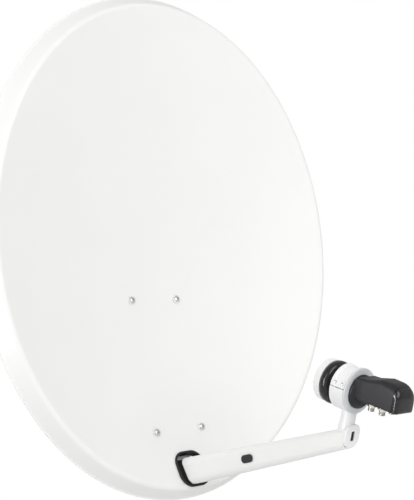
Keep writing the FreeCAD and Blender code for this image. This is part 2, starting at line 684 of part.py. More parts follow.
sketch = newSketch(bracket, "BracketSlot", "YZ_Plane")
arcSlot(sketch, "pivotBack", "pivotUp", "slotRadius", "slotHalf", "slotLow", "slotHigh")
pocket(bracket, sketch, "4 * cheekHalf", middle=True)
keep(bracket, "back_bracket")

# Mast bracket: a cast web with two cheeks in front and two saddles for the mast behind
mast = newBody("MastBracket", "mast")
sketch = newSketch(mast, "MastWeb", "XZ_Plane", "webBack")
polygon(sketch, [("-webHalf", "-bracketLow"), ("webHalf", "-bracketLow"), ("webHalf", "bracketTop"),
                 ("-webHalf", "bracketTop")])
pad(mast, sketch, "webThick")
fillet(mast, "9", lambda edge: runs(edge, Y))
cheekInside = "cheekHalf + cheekGap"
sketch = newSketch(mast, "MastCheek", "YZ_Plane", cheekInside)
webFront = "-(webBack + webThick)"
polygon(sketch, [("-webBack - 1", "bracketTop - 6"), ("-pivotReach + 6", "pivotHeight + 19"),
                 ("-pivotReach - 10", "pivotHeight + 17"),
                 ("-pivotReach - 18", "pivotHeight + 4"), ("lockY - 13", "lockZ + 6"),
                 ("lockY - 9", "lockZ - 12"),
                 ("lockY + 8", "lockZ - 15"), ("-webBack - 1", "-bracketLow + 4")])
side = pad(mast, sketch, "mastCheek")
mirrored(mast, [side])
fillet(mast, "7", lambda edge: runs(edge, X) and edge.BoundBox.YMax < value(webFront) - 10
       and edge.Length < value("mastCheek") + 1)
for rise, name in (("jawMiddle", "Upper"), ("-jawMiddle", "Lower")):
    sketch = newSketch(mast, name + "Saddle", "XY_Plane", f"{rise} - jawTall / 2")
    polygon(sketch, [("-mastRadius - 13", "-webBack - 1"), ("mastRadius + 13", "-webBack - 1"),
                     ("mastRadius + 3", "-jawFace"),
                     ("-mastRadius - 3", "-jawFace")])
    pad(mast, sketch, "jawTall")
sketch = newSketch(mast, "MastSeat", "XY_Plane")
circle(sketch, "0", "0", "mastRadius")
pocket(mast, sketch, "4 * bracketLow", middle=True)
sketch = newSketch(mast, "ClampHoles", "XZ_Plane")
for x in ("-clampHalf", "clampHalf"):
    for z in ("-jawMiddle", "jawMiddle"):
        circle(sketch, x, z, "clampShank + shankGap")
pocket(mast, sketch, "4 * webBack", middle=True)
sketch = newSketch(mast, "PivotHoles", "YZ_Plane")
circle(sketch, "-pivotReach", "pivotHeight", "pivotRadius + pivotFit")
circle(sketch, "lockY", "lockZ", "clampShank + shankGap")
pocket(mast, sketch, "4 * cheekHalf", middle=True)
keep(mast, "mast_bracket")

# Clamp jaws behind the mast, each on two long bolts
for rise, name, node in (("jawMiddle", "Upper", "upper"), ("-jawMiddle", "Lower", "lower")):
    jaw = newBody(name + "Jaw", "mast")
    sketch = newSketch(jaw, name + "JawPlan", "XY_Plane", f"{rise} - jawTall / 2")
    back = "jawFace + jawDeep"
    polygon(sketch, [("-webHalf", "jawFace"), ("webHalf", "jawFace"), ("webHalf", back),
                     ("mastRadius + 10", back),
                     ("mastRadius - 4", f"{back} + jawHump"), ("-mastRadius + 4", f"{back} + jawHump"),
                     ("-mastRadius - 10", back), ("-webHalf", back)])
    pad(jaw, sketch, "jawTall")
    sketch = newSketch(jaw, name + "JawSeat", "XY_Plane")
    circle(sketch, "0", "0", "mastRadius")
    pocket(jaw, sketch, "4 * bracketLow", middle=True)
    sketch = newSketch(jaw, name + "JawHoles", "XZ_Plane")
    for x in ("-clampHalf", "clampHalf"):
        circle(sketch, x, rise, "clampShank + shankGap")
    pocket(jaw, sketch, "6 * webBack", middle=True)
    fillet(jaw, "3", lambda edge: runs(edge, Z) and abs(edge.BoundBox.XMin) > value("webHalf") - 1)
    keep(jaw, node + "_clamp_jaw")
    spots = [(x, back + " + seatGap", rise) for x in ("-clampHalf", "clampHalf")]
    washers(name + "ClampWasher", node + "_clamp_washers", "mast", spots, "+Y", "clampShank + shankGap")
    spots = [(x, "nutSeat + 2 * seatGap", rise) for x in ("-clampHalf", "clampHalf")]
    nuts(name + "ClampNut", node + "_clamp_nuts", "mast", spots, "+Y", "clampShank + shankGap")
spots = [(x, "-(webBack + webThick + seatGap)", z) for x in ("-clampHalf",
                                                             "clampHalf") for z in ("-jawMiddle",
                                                                                    "jawMiddle")]
roundHeadBolt("ClampBolt", "clamp_bolts", "mast", spots, "+Y", "clampShank",
              "webBack + webThick + clampEnd")

# Tilt pivot across all four cheeks, and a short lock bolt on each side
outside = "cheekHalf + cheekGap + mastCheek + seatGap"
pivotSpot = [(f"-({outside})", "-pivotReach", "pivotHeight")]
roundHeadBolt("PivotBolt", "pivot_bolt", "mast", pivotSpot, "+X", "pivotRadius",
              f"2 * ({outside}) + discThick + nutTall + 3")
washers("PivotWasher", "pivot_washer", "mast", [(outside, "-pivotReach", "pivotHeight")], "+X",
        "pivotRadius + shankGap")
nuts("PivotNut", "pivot_nut", "mast", [(f"{outside} + discThick + seatGap", "-pivotReach", "pivotHeight")],
     "+X",
     "pivotRadius + seatGap")
lockBolts, lockWashers, lockNuts = [], [], []
lockSeat = "cheekHalf - cheekThick - cheekGap"
for side, along in (("", "+X"), ("-", "-X")):
    spot = [(f"{side}({lockSeat})", "lockY", "lockZ")]
    name = "Right" if along == "+X" else "Left"
    lockBolts += roundHeadBolt(name + "LockBolt", None, "mast", spot, along, "clampShank", "27")
    spot = [(f"{side}({outside})", "lockY", "lockZ")]
    lockWashers += washers(name + "LockWasher", None, "mast", spot, along, "clampShank + shankGap",
                           "discRadius + 2")
    spot = (f"{side}({outside} + discThick + seatGap)", "lockY", "lockZ")
    blank = hexPrism(name + "LockHex", "mast", spot, along, "nutCorner", "nutTall")
    hole = cylinder(name + "LockBore", "mast", spot, along, "clampShank + seatGap", "nutTall")
    lockNuts.append(cut(name + "LockNut", blank, hole))
group("lock_bolts", lockBolts)
group("lock_washers", lockWashers)
group("lock_nuts", lockNuts)

# Trim collar in the arm opening
collar = doc.addObject("Part::Feature", "OpeningCollar")
halfWide, halfTall = value("openingHalf - shankGap"), value("openingTall - shankGap")
corner, wall = value("openingCorner"), value("collarWall")
lip, proud, rear = value("collarLip"), value("collarProud"), value("collarDeep")
lipBase = -halfTall * halfTall / (4 * focal) - value("slideGap")
tube = roundedWindow(halfWide, halfTall, corner, -proud + lipBase, rear)
edgeLip = roundedWindow(halfWide + lip, halfTall + lip, corner + lip, -proud - 2 * lip, 3).cut(
    paraboloidBehind(focal, -value("slideGap"), radius, low, high, deep))
edgeLip = edgeLip.common(Part.makeBox(200, proud + 4, 200, Vector(-100, -proud - 3, -100)))
mouth = roundedWindow(halfWide - wall, halfTall - wall, corner - wall, -2 * spare, 2 * spare)
collar.Shape = tube.fuse(edgeLip).cut(mouth).removeSplitter()
place(keep(collar, "arm_collar"), "beam")

# Feed arm: a tapered box tube with rounded edges, its root cut to the dish and its tip to the head
def taperedBlock(name, inset, tip):
    """The arm's tapered block as far as its tip, with rounded edges and its sides moved in by the inset."""
    block = newBody(name, "arm")
    ends = []
    for label, along in (("Root", "-60"), ("Tip", tip)):
        sketch = newSketch(block, name + label, "XZ_Plane", along)
        wide = f"((armRootWide + (armTipWide - armRootWide) * ({along}) / armLength) / 2 - ({inset}))"
        tall = f"((armRootTall + (armTipTall - armRootTall) * ({along}) / armLength) / 2 - ({inset}))"
        polygon(sketch, [(f"-{wide}", f"-{tall}"), (wide, f"-{tall}"), (wide, tall), (f"-{wide}", tall)])
        ends.append(sketch)
    loft = block.newObject("PartDesign::AdditiveLoft", name + "Loft")
    loft.Profile = ends[0]
    loft.Sections = [ends[1]]
    loft.Ruled = True
    doc.recompute()
    fillet(block, f"armCorner - ({inset})", lambda edge: edge.Length > value(tip))
    return block


arm = taperedBlock("ArmOuter", "0", "armLength + 25")
armHollow = taperedBlock("ArmHollow", "armWall", "armLength + 25")
rootTool = box("ArmRootTool", "beam", ("-100", "-armStart", "-100"), ("200", "200", "300"))
tipTool = box("ArmTipTool", "head", ("-100", "-armEnd - 200", "-armDrop - 100"), ("200", "200", "200"))
plugTool = doc.addObject("Part::Feature", "PlugTool")


def stadium(wide, tall, thick):
    """Slot-shaped block with its long side along Y, its short side along Z and its depth along X."""
    half = (wide - tall) / 2
    block = Part.makeBox(thick, 2 * half, tall, Vector(-thick / 2, -half, -tall / 2))
    ends = [Part.makeCylinder(tall / 2, thick, Vector(-thick / 2, place, 0), X) for place in (-half, half)]
    return block.fuse(ends).removeSplitter()


plugLong, plugTall = value("plugLong"), value("plugTall")
plugTool.Shape = stadium(plugLong - 3, plugTall - 3, 4 * value("plugDeep"))
sideAt = "-(armRootWide + (armTipWide - armRootWide) * plugAlong / armLength) / 2"
place(plugTool, "arm", (sideAt, "-plugAlong", "0"))

# The holder's neck leaves the arm through a notch in its top that is open at the tip
notch = box("ArmNotch", "head", ("-neckWide / 2 - slideGap", "-neckBack - 5", "-armDrop"),
            ("neckWide + 2 * slideGap", "neckLong + slideGap + 5", "armDrop"))
armCuts = fuse("ArmTools", [armHollow, rootTool, tipTool, plugTool, notch])
keep(cut("FeedArm", arm, armCuts), "feed_arm")

# Arm socket: a tapered block from the bracket's tab through the opening into the arm's root
socketBox = taperedBlock("SocketBlock", "armWall + socketGap", "socketDeep")
plateSide = box("PlateSide", "plate", ("-100", "plateStand - seatGap", "-tabLow - 60"),
                ("200", "200", "200"))
boreLow = cylinder("SocketBoreLow", "plate", ("0", "-20", "-tabLow + 22"), "+Y", "boltShank", "60")
boreHigh = cylinder("SocketBoreHigh", "plate", ("0", "-20", "-tabLow + 46"), "+Y", "boltShank", "60")
keep(cut("ArmSocket", socketBox, fuse("SocketTools", [plateSide, boreLow, boreHigh])), "arm_socket")
armSpots = [("0", "plateStand + plateThick + discThick + 2 * seatGap", rise) for rise in ("-tabLow + 22",
                                                                                          "-tabLow + 46")]
roundHeadBolt("ArmBolt", "arm_bolts", "plate", armSpots, "-Y", "boltShank - seatGap", "30", "boltHead", "4")
ringSpots = [("0", "plateStand + plateThick + seatGap", z) for x, y, z in armSpots]
washers("ArmWasher", "arm_bolt_washers", "plate", ringSpots, "+Y", "boltShank + shankGap", "washerRadius")

# Oval plug in the arm's side
plug = doc.addObject("Part::Feature", "SidePlug")
head = stadium(plugLong, plugTall, 1.6)
head.translate(Vector(-0.8 - 0.4, 0, 0))
stem = stadium(plugLong - 3.6, plugTall - 3.6, value("plugDeep"))
stem.translate(Vector(value("plugDeep") / 2 - 1, 0, 0))
plug.Shape = head.fuse(stem).removeSplitter()
place(keep(plug, "side_plug"), "arm", (sideAt, "-plugAlong", "0"))

# Holder: neck, end cap, plug into the arm and the lower half of the clamp ring
neck = newBody("HolderNeck", "head")
sketch = newSketch(neck, "NeckPlan", "XY_Plane", "-armDrop - 3")
neckFront = "neckBack - neckLong"
polygon(sketch, [("-neckWide / 2", "-neckBack"), ("neckWide / 2", "-neckBack"),
                 ("neckWide / 2", f"-({neckFront})"),
                 ("-neckWide / 2", f"-({neckFront})")])
pad(neck, sketch, "armDrop + 3 - sleeveRadius")
fillet(neck, "neckWide / 2 - 3", lambda edge: runs(edge, Z))
sketch = newSketch(neck, "NeckStep", "YZ_Plane")
polygon(sketch, [("-neckBack - 1", "-collarRadius - slideGap"), ("-ringBack", "-collarRadius - slideGap"),
                 ("-ringBack", "0"), ("-neckBack - 1", "0")])
pocket(neck, sketch, "4 * neckWide", middle=True)
sketch = newSketch(neck, "NeckBore", "XZ_Plane")
circle(sketch, "0", "0", "sleeveRadius + slideGap")
pocket(neck, sketch, "6 * ringBack", middle=True)

endCap = newBody("HolderCap", "head")
sketch = newSketch(endCap, "CapOutline", "XZ_Plane", "armEnd + seatGap")
halfWide, halfTall = "capWide / 2", "capTall / 2"
polygon(sketch, [(f"-({halfWide})", f"-capDrop - {halfTall}"), (halfWide, f"-capDrop - {halfTall}"),
                 (halfWide, f"-capDrop + {halfTall}"), (f"-({halfWide})", f"-capDrop + {halfTall}")])
pad(endCap, sketch, "capThick")
fillet(endCap, "capWide / 2 - 2", lambda edge: runs(edge, Y))

ring = newBody("HolderRing", "head")
sketch = newSketch(ring, "RingOutline", "XZ_Plane", "ringFront")
circle(sketch, "0", "0", "ringRadius")
pad(ring, sketch, "ringLong")
sketch = newSketch(ring, "RingSplit", "XZ_Plane")
polygon(sketch, [("-60", "splitHeight - splitGap / 2"), ("60", "splitHeight - splitGap / 2"), ("60", "60"),
                 ("-60", "60")])
pocket(ring, sketch, "6 * ringBack", middle=True)
sketch = newSketch(ring, "RingBore", "XZ_Plane")
circle(sketch, "0", "0", "sleeveRadius + slideGap")
pocket(ring, sketch, "6 * ringBack", middle=True)
screwSpots = [(f"{side}screwHalf", f"-ringBack + ringLong / 2 {step} 7", "screwSeat") for side in ("-",
                                                                                                   "") for step in "-+"]
screwTaps = newSketch(ring, "RingTaps", "XY_Plane", "splitHeight")
for x, y, z in screwSpots:
    circle(screwTaps, x, y, "screwShank + seatGap")
pocket(ring, screwTaps, "screwDeep + 2")

plugSpace = "armWall + 2 * slideGap + 2"
plugBlock = box("HolderPlug", "arm", (f"-armTipWide / 2 + {plugSpace}", "-armLength - 12",
                                      f"-armTipTall / 2 + {plugSpace}"),
                (f"armTipWide - 2 * ({plugSpace})", "36", f"armTipTall - 2 * ({plugSpace})"))
plugEnd = box("HolderPlugEnd", "head", ("-100", "-armEnd - 201", "-armDrop - 100"), ("200", "200", "200"))
slot = box("HolderSlot", "head", ("-slotWide / 2", "-neckBack - 1", "-capDrop - slotTall / 2"),
           ("slotWide", "6", "slotTall"))
whole = fuse("HolderWhole", [neck, endCap, ring, cut("HolderPlugCut", plugBlock, plugEnd)])
keep(cut("LnbHolder", whole, slot), "lnb_holder")

# Upper half of the clamp ring with its screws
halfRing = newBody("ClampCap", "head")
sketch = newSketch(halfRing, "ClampCapRing", "XZ_Plane", "ringFront")
circle(sketch, "0", "0", "ringRadius")
pad(halfRing, sketch, "ringLong")
sketch = newSketch(halfRing, "ClampCapSplit", "XZ_Plane")
polygon(sketch, [("-60", "-60"), ("60", "-60"), ("60", "splitHeight + splitGap / 2"),
                 ("-60", "splitHeight + splitGap / 2")])
pocket(halfRing, sketch, "6 * ringBack", middle=True)
sketch = newSketch(halfRing, "ClampCapBore", "XZ_Plane")
circle(sketch, "0", "0", "sleeveRadius + slideGap")
pocket(halfRing, sketch, "6 * ringBack", middle=True)
for name, rise, wide in (("Holes", "0", "screwShank + shankGap"),
                         ("Recesses", "screwSeat", "screwHead + shankGap")):
    sketch = newSketch(halfRing, "ClampCap" + name, "XY_Plane", rise)
    for x, y, z in screwSpots:
        circle(sketch, x, y, wide)
    pocket(halfRing, sketch, "ringRadius", reverse=True)
keep(halfRing, "clamp_cap")
outline = [("0", "-2.2"), ("screwHead", "-2.2"), ("screwHead", "0"), ("screwShank", "0"),
           ("screwShank", "screwSeat - splitHeight + screwDeep"),
           ("0", "screwSeat - splitHeight + screwDeep")]
seats = [(x, y, z + " + seatGap") for x, y, z in screwSpots]
revolved("ClampCapScrew", outline, "head", seats, "-Z", "clamp_cap_screws")

slotPlug = box("SlotPlug", "head", ("-slotWide / 2 + seatGap", "-neckBack + 1.2",
                                    "-capDrop - slotTall / 2 + seatGap"),
               ("slotWide - 2 * seatGap", "3.5", "slotTall - 2 * seatGap"))
keep(slotPlug, "slot_plug")

# Adapter sleeve that slides in the clamp ring to set the focus
outline = [("tubeRadius + slideGap", "-ringBack - collarThick"),
           ("collarRadius", "-ringBack - collarThick"),
           ("collarRadius", "-ringBack - seatGap"), ("sleeveRadius", "-ringBack - seatGap"),
           ("sleeveRadius", "-sleeveNose"), ("tubeRadius + slideGap", "-sleeveNose")]
revolved("AdapterSleeve", outline, "head", [("0", "0", "0")], "+Y", "adapter_sleeve")

# Converter, which turns in the sleeve: horn, black ring, front cap and seal
outline = [("boreRadius", "-bossFront - 5"), ("tubeRadius - 2", "-bossFront - 5"),
           ("tubeRadius - 2", "-bossFront + 1"),
           ("tubeRadius", "-bossFront + 1"), ("tubeRadius", "-14.4"), ("hornMouth + 2.5", "-6"),
           ("hornMouth + 2.5", "hornFront"),
           ("hornMouth", "hornFront"), ("hornMouth", "-2"), ("boreRadius", "-15")]
revolved("FeedHorn", outline, "head", [("0", "0", "0")], "+Y", "feed_horn")
inside = "hornMouth + 2.5 + seatGap"
outline = [("tubeRadius + seatGap", "-sleeveNose + slideGap"),
           ("sleeveRadius - 2", "-sleeveNose + slideGap"),
           ("sleeveRadius + 1", "-14"), ("ringBulge - 2.6", "-10.8"), ("ringBulge - 0.7", "-6.5"),
           ("ringBulge", "-2.8"),
           ("ringBulge - 0.7", "0.6"), ("ringBulge - 2.6", "capBack - seatGap"),
           (inside, "capBack - seatGap"),
           (inside, "-6"), ("tubeRadius + seatGap", "-14.4")]
revolved("HornRing", outline, "head", [("0", "0", "0")], "+Y", "horn_ring")
outline = [("0", "capFront - 1.6"), ("capRadius - 2.2", "capFront - 2.6"), ("capRadius - 2.2", "capBack"),
           ("capRadius", "capBack"),
           ("capRadius", "capFront - 2.8"), ("capRadius - 2.6", "capFront - 0.6"), ("0", "capFront")]
revolved("FeedCap", outline, "head", [("0", "0", "0")], "+Y", "feed_cap")
outline = [("hornMouth + 2.7", "capBack"), ("capRadius - 2.5", "capBack"),
           ("capRadius - 2.5", "capBack + 2"),
           ("hornMouth + 2.7", "capBack + 2")]
revolved("CapSeal", outline, "head", [("0", "0", "0")], "+Y", "cap_seal")


def rounded(shape, size, chosen):
    return shape.makeFillet(size, [edge for edge in shape.Edges if chosen(edge)])


# Housing: where its side outline, its plan and its rounded section meet
def housingBlock(inset):
    """The housing's block, all its sides moved in by the inset."""
    top, base, half, end = (value(n) for n in ("housingTop", "housingBase", "housingHalf", "housingEnd"))
    boss, begin, corner = value("bossRadius"), value("bossFront + bossLong") - 3, value("endCorner")
    arch = value("endArch")
    sideWire = Part.Wire([
        Part.makePolygon([Vector(0, -begin - inset, -base / 2 + inset),
                          Vector(0, -begin - inset, boss - 4 - inset),
                          Vector(0, -begin - 4, boss - 1 - inset), Vector(0, -begin - 18, boss + 1 - inset),
                          Vector(0, -begin - 44, top - inset), Vector(0, -end + arch, top - inset)]),
        Part.Arc(Vector(0, -end + arch, top - inset),
                 Vector(0, -end + 0.29 * arch + inset, top - 0.31 * arch - inset),
                 Vector(0, -end + inset, top - arch)).toShape(),
        Part.makePolygon([Vector(0, -end + inset, top - arch), Vector(0, -end + inset, -base + 4),
                          Vector(0, -end + 3 + inset, -base + inset), Vector(0, -begin - 10, -base + inset),
                          Vector(0, -begin - inset, -base / 2 + inset)]),
    ])
    sideBlock = Part.Face(sideWire).extrude(Vector(4 * half, 0, 0))
    sideBlock.translate(Vector(-2 * half, 0, 0))
    wide = half - inset
    plan = Part.Wire([
        Part.makePolygon([Vector(-wide, -end + corner, -60), Vector(-wide, -begin - 16, -60),
                          Vector(-boss + 5 + inset, -begin - inset, -60),
                          Vector(boss - 5 - inset, -begin - inset, -60), Vector(wide, -begin - 16, -60),
                          Vector(wide, -end + corner, -60)]),
        Part.Arc(Vector(wide, -end + corner, -60), Vector(wide - 0.3 * corner, -end + 0.36 * corner + inset,
                                                          -60),
                 Vector(wide - corner, -end + 0.8 + inset, -60)).toShape(),
        Part.Arc(Vector(wide - corner, -end + 0.8 + inset, -60), Vector(0, -end + inset, -60),
                 Vector(corner - wide, -end + 0.8 + inset, -60)).toShape(),
        Part.Arc(Vector(corner - wide, -end + 0.8 + inset, -60),
                 Vector(0.3 * corner - wide, -end + 0.36 * corner + inset, -60),
                 Vector(-wide, -end + corner, -60)).toShape(),
    ])
    section = Part.makeBox(2 * wide, end, top + base - 2 * inset, Vector(-wide, -end, inset - base))
    section = rounded(section, value("hoodRound") - inset,
                      lambda edge: runs(edge, Y) and edge.CenterOfMass.z > 0)
    section = rounded(section, value("baseRound") - inset,
                      lambda edge: runs(edge, Y) and edge.CenterOfMass.z < 0)
    return sideBlock.common(Part.Face(plan).extrude(Vector(0, 0, 120))).common(section)


block = housingBlock(0)
wall = value("housingWall")
hollow = housingBlock(wall)
bossTube = Part.makeCylinder(value("bossRadius"), value("bossLong"), Vector(0, -value("bossFront"), 0), -Y)
bossBore = Part.makeCylinder(value("tubeRadius - 2 + seatGap"), value("bossLong") + 4,
                             Vector(0, -value("bossFront") + 1, 0), -Y)
shell = block.fuse(bossTube).cut(hollow).cut(bossBore)
portRows = [(side * value("portHalf"), -value("portFirst") - step * value("portPitch")) for side in (-1,
                                                                                                     1) for step in (0, 1)]
for x, y in portRows:
    shell = shell.cut(Part.makeCylinder(value("portRadius + shankGap"), 30, Vector(x, y, -20), Z))
seam = value("hoodStart")
front = Part.makeBox(100, seam, 120, Vector(-50, -seam, -60))
housing = doc.addObject("Part::Feature", "Housing")
housing.Shape = shell.common(front).removeSplitter()
place(keep(housing, "lnb_housing"), "head")
hood = doc.addObject("Part::Feature", "RearHood")
hood.Shape = shell.common(front.translated(Vector(0, -seam - value("seatGap"), 0))).removeSplitter()
place(keep(hood, "rear_hood"), "head")

# Circuit board on ledges above the connectors
board = box("CircuitBoard", "head", ("-housingHalf + housingWall + seatGap", "-housingEnd + 14", "1.5"),
            ("2 * (housingHalf - housingWall - seatGap)", "housingEnd - 14 - bossFront - bossLong - 16",
             "1.6"))
keep(board, "circuit_board")

# Screw-on coax connectors under the housing
connectors, insulators = [], []
for number, (side, step) in enumerate([(s, n) for s in ("-", "") for n in (0, 1)]):
    x, y = f"{side}portHalf", f"-(portFirst + {step} * portPitch)"
    barrel = cylinder(f"PortBarrel{number}", "head", (x, y, "1.4"), "-Z", "portRadius", "portLow + 1.4")
    hexBase = hexPrism(f"PortHex{number}", "head", (x, y, "-housingBase - seatGap"), "-Z", "portHex", "3.5")
    mouth = cylinder(f"PortMouth{number}", "head", (x, y, "-portLow"), "+Z", "portRadius - 1.3", "7")
    connectors.append(cut(f"Port{number}", fuse(f"PortBody{number}", [barrel, hexBase]), mouth))
    outline = [("0.6", "0"), ("portRadius - 1.3 - seatGap", "0"), ("portRadius - 1.3 - seatGap", "5.5"),
               ("0.6", "5.5")]
    insulators += revolved(f"PortCore{number}", outline, "head", [(x, y, "-portLow + 1.5 - seatGap")], "+Z")
group("coax_connectors", connectors)
group("connector_insulators", insulators)

doc.recompute()
for item in doc.Objects:
    assert not {"Invalid", "Error"} & set(item.State), f"{item.Name} failed: {item.State}"
for label, item in nodes.items():
    assert not item.Shape.isNull() and item.Shape.isValid(), f"{label} has no valid shape"
    assert item.Shape.Solids, f"{label} has no solid"

os.makedirs("parts", exist_ok=True)
for label, item in nodes.items():
    item.Shape.exportStep(f"parts/{label}.step")
print(len(nodes), "sub-parts,", sum(len(item.Shape.Solids) for item in nodes.values()), "solids")
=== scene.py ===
import json
import math

import bmesh
import bpy
import numpy as np
from mathutils import Matrix


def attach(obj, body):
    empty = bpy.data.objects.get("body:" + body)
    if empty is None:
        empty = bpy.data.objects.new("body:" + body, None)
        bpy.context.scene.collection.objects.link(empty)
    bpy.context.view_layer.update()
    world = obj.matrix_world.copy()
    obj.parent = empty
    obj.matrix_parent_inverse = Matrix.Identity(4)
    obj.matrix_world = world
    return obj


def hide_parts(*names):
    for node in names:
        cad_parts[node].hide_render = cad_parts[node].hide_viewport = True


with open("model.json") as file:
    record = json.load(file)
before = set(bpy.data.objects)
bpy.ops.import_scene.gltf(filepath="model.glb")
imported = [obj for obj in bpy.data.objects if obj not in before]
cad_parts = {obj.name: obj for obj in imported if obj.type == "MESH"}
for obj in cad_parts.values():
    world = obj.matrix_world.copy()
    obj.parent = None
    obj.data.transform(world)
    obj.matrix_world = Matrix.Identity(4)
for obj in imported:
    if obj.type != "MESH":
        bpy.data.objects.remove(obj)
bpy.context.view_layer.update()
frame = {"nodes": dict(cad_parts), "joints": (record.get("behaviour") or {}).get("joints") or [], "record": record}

mm = 0.001

# The dish's own geometry, in millimetres and degrees. The head's place and axis come from the frame.
layout = {
    "focalLength": 356.0, "apertureRadius": 368.0, "apertureOffset": 367.0, "beamElevation": 33.0,
    "headRise": 4.2, "headBehind": 4.0, "armRootHeight": 23.2, "armEnd": 50.5, "armDrop": 72.4,
    "floorLevel": -0.42,
}
xAxis = np.array([1.0, 0.0, 0.0])
skew = next(joint for joint in frame["joints"] if joint["name"] == "converter_skew")
headPoint = np.array(skew["pos_m"]) / mm
headBack = -np.array(skew["axis"], float)  # from the horn towards the middle of the dish
headUp = np.array([0.0, -headBack[2], headBack[1]])
focusPoint = headPoint + layout["headBehind"] * headBack - layout["headRise"] * headUp
beamTurn = math.radians(layout["beamElevation"])
beamBack = np.array([0.0, math.cos(beamTurn), -math.sin(beamTurn)])
beamUp = np.array([0.0, math.sin(beamTurn), math.cos(beamTurn)])
vertexPoint = focusPoint + layout["focalLength"] * beamBack
rootDepth = layout["armRootHeight"] ** 2 / (4 * layout["focalLength"])
armRoot = vertexPoint + layout["armRootHeight"] * beamUp - rootDepth * beamBack
armTip = headPoint - layout["armEnd"] * headBack - layout["armDrop"] * headUp
armLength = float(np.linalg.norm(armRoot - armTip))
armBack = (armRoot - armTip) / armLength
armUp = np.array([0.0, -armBack[2], armBack[1]])


# Local points to the frame: origin + x X + y back + z up, in metres.
def placed(points, origin, back, up):
    p = np.asarray(points, float).reshape(-1, 3)
    return (origin + p[:, :1] * xAxis + p[:, 1:2] * back + p[:, 2:3] * up) * mm


def onHead(points):
    return placed(points, headPoint, headBack, headUp)


def onBeam(points):
    return placed(points, vertexPoint, beamBack, beamUp)


# Quads between neighbours of a grid of rows and columns; a wrapped side joins its last line to its first.
def gridFaces(rows, columns, wrapRows=False, wrapColumns=True):
    i, j = np.meshgrid(np.arange(rows if wrapRows else rows - 1),
                       np.arange(columns if wrapColumns else columns - 1), indexing="ij")
    below, right = (i + 1) % rows, (j + 1) % columns
    return np.stack([i * columns + j, i * columns + right, below * columns + right, below * columns + j],
                    axis=-1).reshape(-1, 4)


# Each corner of an outline becomes a short parabola that starts and ends one rounding away from it.
def softened(corners, rounding, steps=5, closed=True):
    p = np.array(corners, float)
    toBefore, toAfter = np.roll(p, 1, 0) - p, np.roll(p, -1, 0) - p
    lengthBefore = np.linalg.norm(toBefore, axis=1, keepdims=True)
    lengthAfter = np.linalg.norm(toAfter, axis=1, keepdims=True)
    wanted = np.broadcast_to(rounding, len(p))[:, None]
    reach = np.minimum(wanted, 0.48 * np.minimum(lengthBefore, lengthAfter))
    start, end = p + toBefore / lengthBefore * reach, p + toAfter / lengthAfter * reach
    s = np.linspace(0, 1, steps + 1)[None, :, None]
    curve = (1 - s) ** 2 * start[:, None] + 2 * s * (1 - s) * p[:, None] + s ** 2 * end[:, None]
    if not closed:
        curve[0], curve[-1] = p[0], p[-1]
    return curve.reshape(-1, 2)


# A profile of radius and distance turned about the Y axis: x = r sin a, z = r cos a.
def turned(profile, steps=96, closed=True):
    p = np.asarray(profile, float)
    a = np.linspace(0, 2 * math.pi, steps, endpoint=False)
    r = p[:, :1]
    points = np.stack([r * np.sin(a), np.repeat(p[:, 1:2], steps, 1), r * np.cos(a)], axis=-1)
    return points.reshape(-1, 3), gridFaces(len(p), steps, wrapRows=closed)


# A rounded rectangle of half sizes a and b, whose corner of radius c has a quarter circle in each quadrant.
def roundedSection(a, b, c, quarter=8):
    angle = (np.arange(4)[:, None] * math.pi / 2 + np.linspace(0, math.pi / 2, quarter)[None, :]).ravel()
    signX = np.repeat([1, -1, -1, 1], quarter)
    signZ = np.repeat([1, 1, -1, -1], quarter)
    return np.stack([signX * (a - c) + c * np.cos(angle), signZ * (b - c) + c * np.sin(angle)], axis=-1)


# Faces of a stack of rings of points, with its first and last ring closed.
def stackFaces(rows, count):
    last = rows * count - 1
    return gridFaces(rows, count).tolist() + [list(range(count)), list(range(last, last - count, -1))]


# One mesh from several sets of points and faces, with doubles merged and faces turned outwards.
def buildMesh(name, parts, sharpAngle=32, merge=0.000004):
    points, faces, count = [], [], 0
    for partPoints, partFaces in parts:
        points.append(np.asarray(partPoints, float).reshape(-1, 3))
        rows = partFaces if isinstance(partFaces, list) else partFaces.tolist()
        faces += [[index + count for index in face] for face in rows]
        count += len(points[-1])
    mesh = bpy.data.meshes.new(name)
    mesh.from_pydata(np.concatenate(points).tolist(), [], faces)
    work = bmesh.new()
    work.from_mesh(mesh)
    bmesh.ops.remove_doubles(work, verts=work.verts, dist=merge)
    bmesh.ops.dissolve_degenerate(work, edges=work.edges, dist=merge / 4)
    bmesh.ops.recalc_face_normals(work, faces=work.faces)
    work.to_mesh(mesh)
    work.free()
    return shadeSmooth(mesh, sharpAngle)


def shadeSmooth(mesh, sharpAngle):
    mesh.polygons.foreach_set("use_smooth", np.ones(len(mesh.polygons), bool))
    mesh.set_sharp_from_angle(angle=math.radians(sharpAngle))
    return mesh


def newPiece(name, mesh, body, slotName, replaced):
    piece = bpy.data.objects.new(name, mesh)
    bpy.context.scene.collection.objects.link(piece)
    mesh.materials.clear()
    mesh.materials.append(materials[slotName])
    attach(piece, body)
    if replaced:
        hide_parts(*replaced)
    return piece


# The mesh of a modifier's result, with a cutter taken away from the piece.
def carved(piece, cutterParts, sharpAngle=32):
    cutterMesh = buildMesh(piece.name + "Cutter", cutterParts)
    cutter = bpy.data.objects.new(piece.name + "Cutter", cutterMesh)
    bpy.context.scene.collection.objects.link(cutter)
    cut = piece.modifiers.new("opening", "BOOLEAN")
    cut.operation, cut.solver, cut.object = "DIFFERENCE", "EXACT", cutter
    graph = bpy.context.evaluated_depsgraph_get()
    result = bpy.data.meshes.new_from_object(piece.evaluated_get(graph))
    piece.modifiers.clear()
    old = piece.data
    piece.data = shadeSmooth(result, sharpAngle)
    bpy.data.objects.remove(cutter)
    bpy.data.meshes.remove(cutterMesh)
    bpy.data.meshes.remove(old)


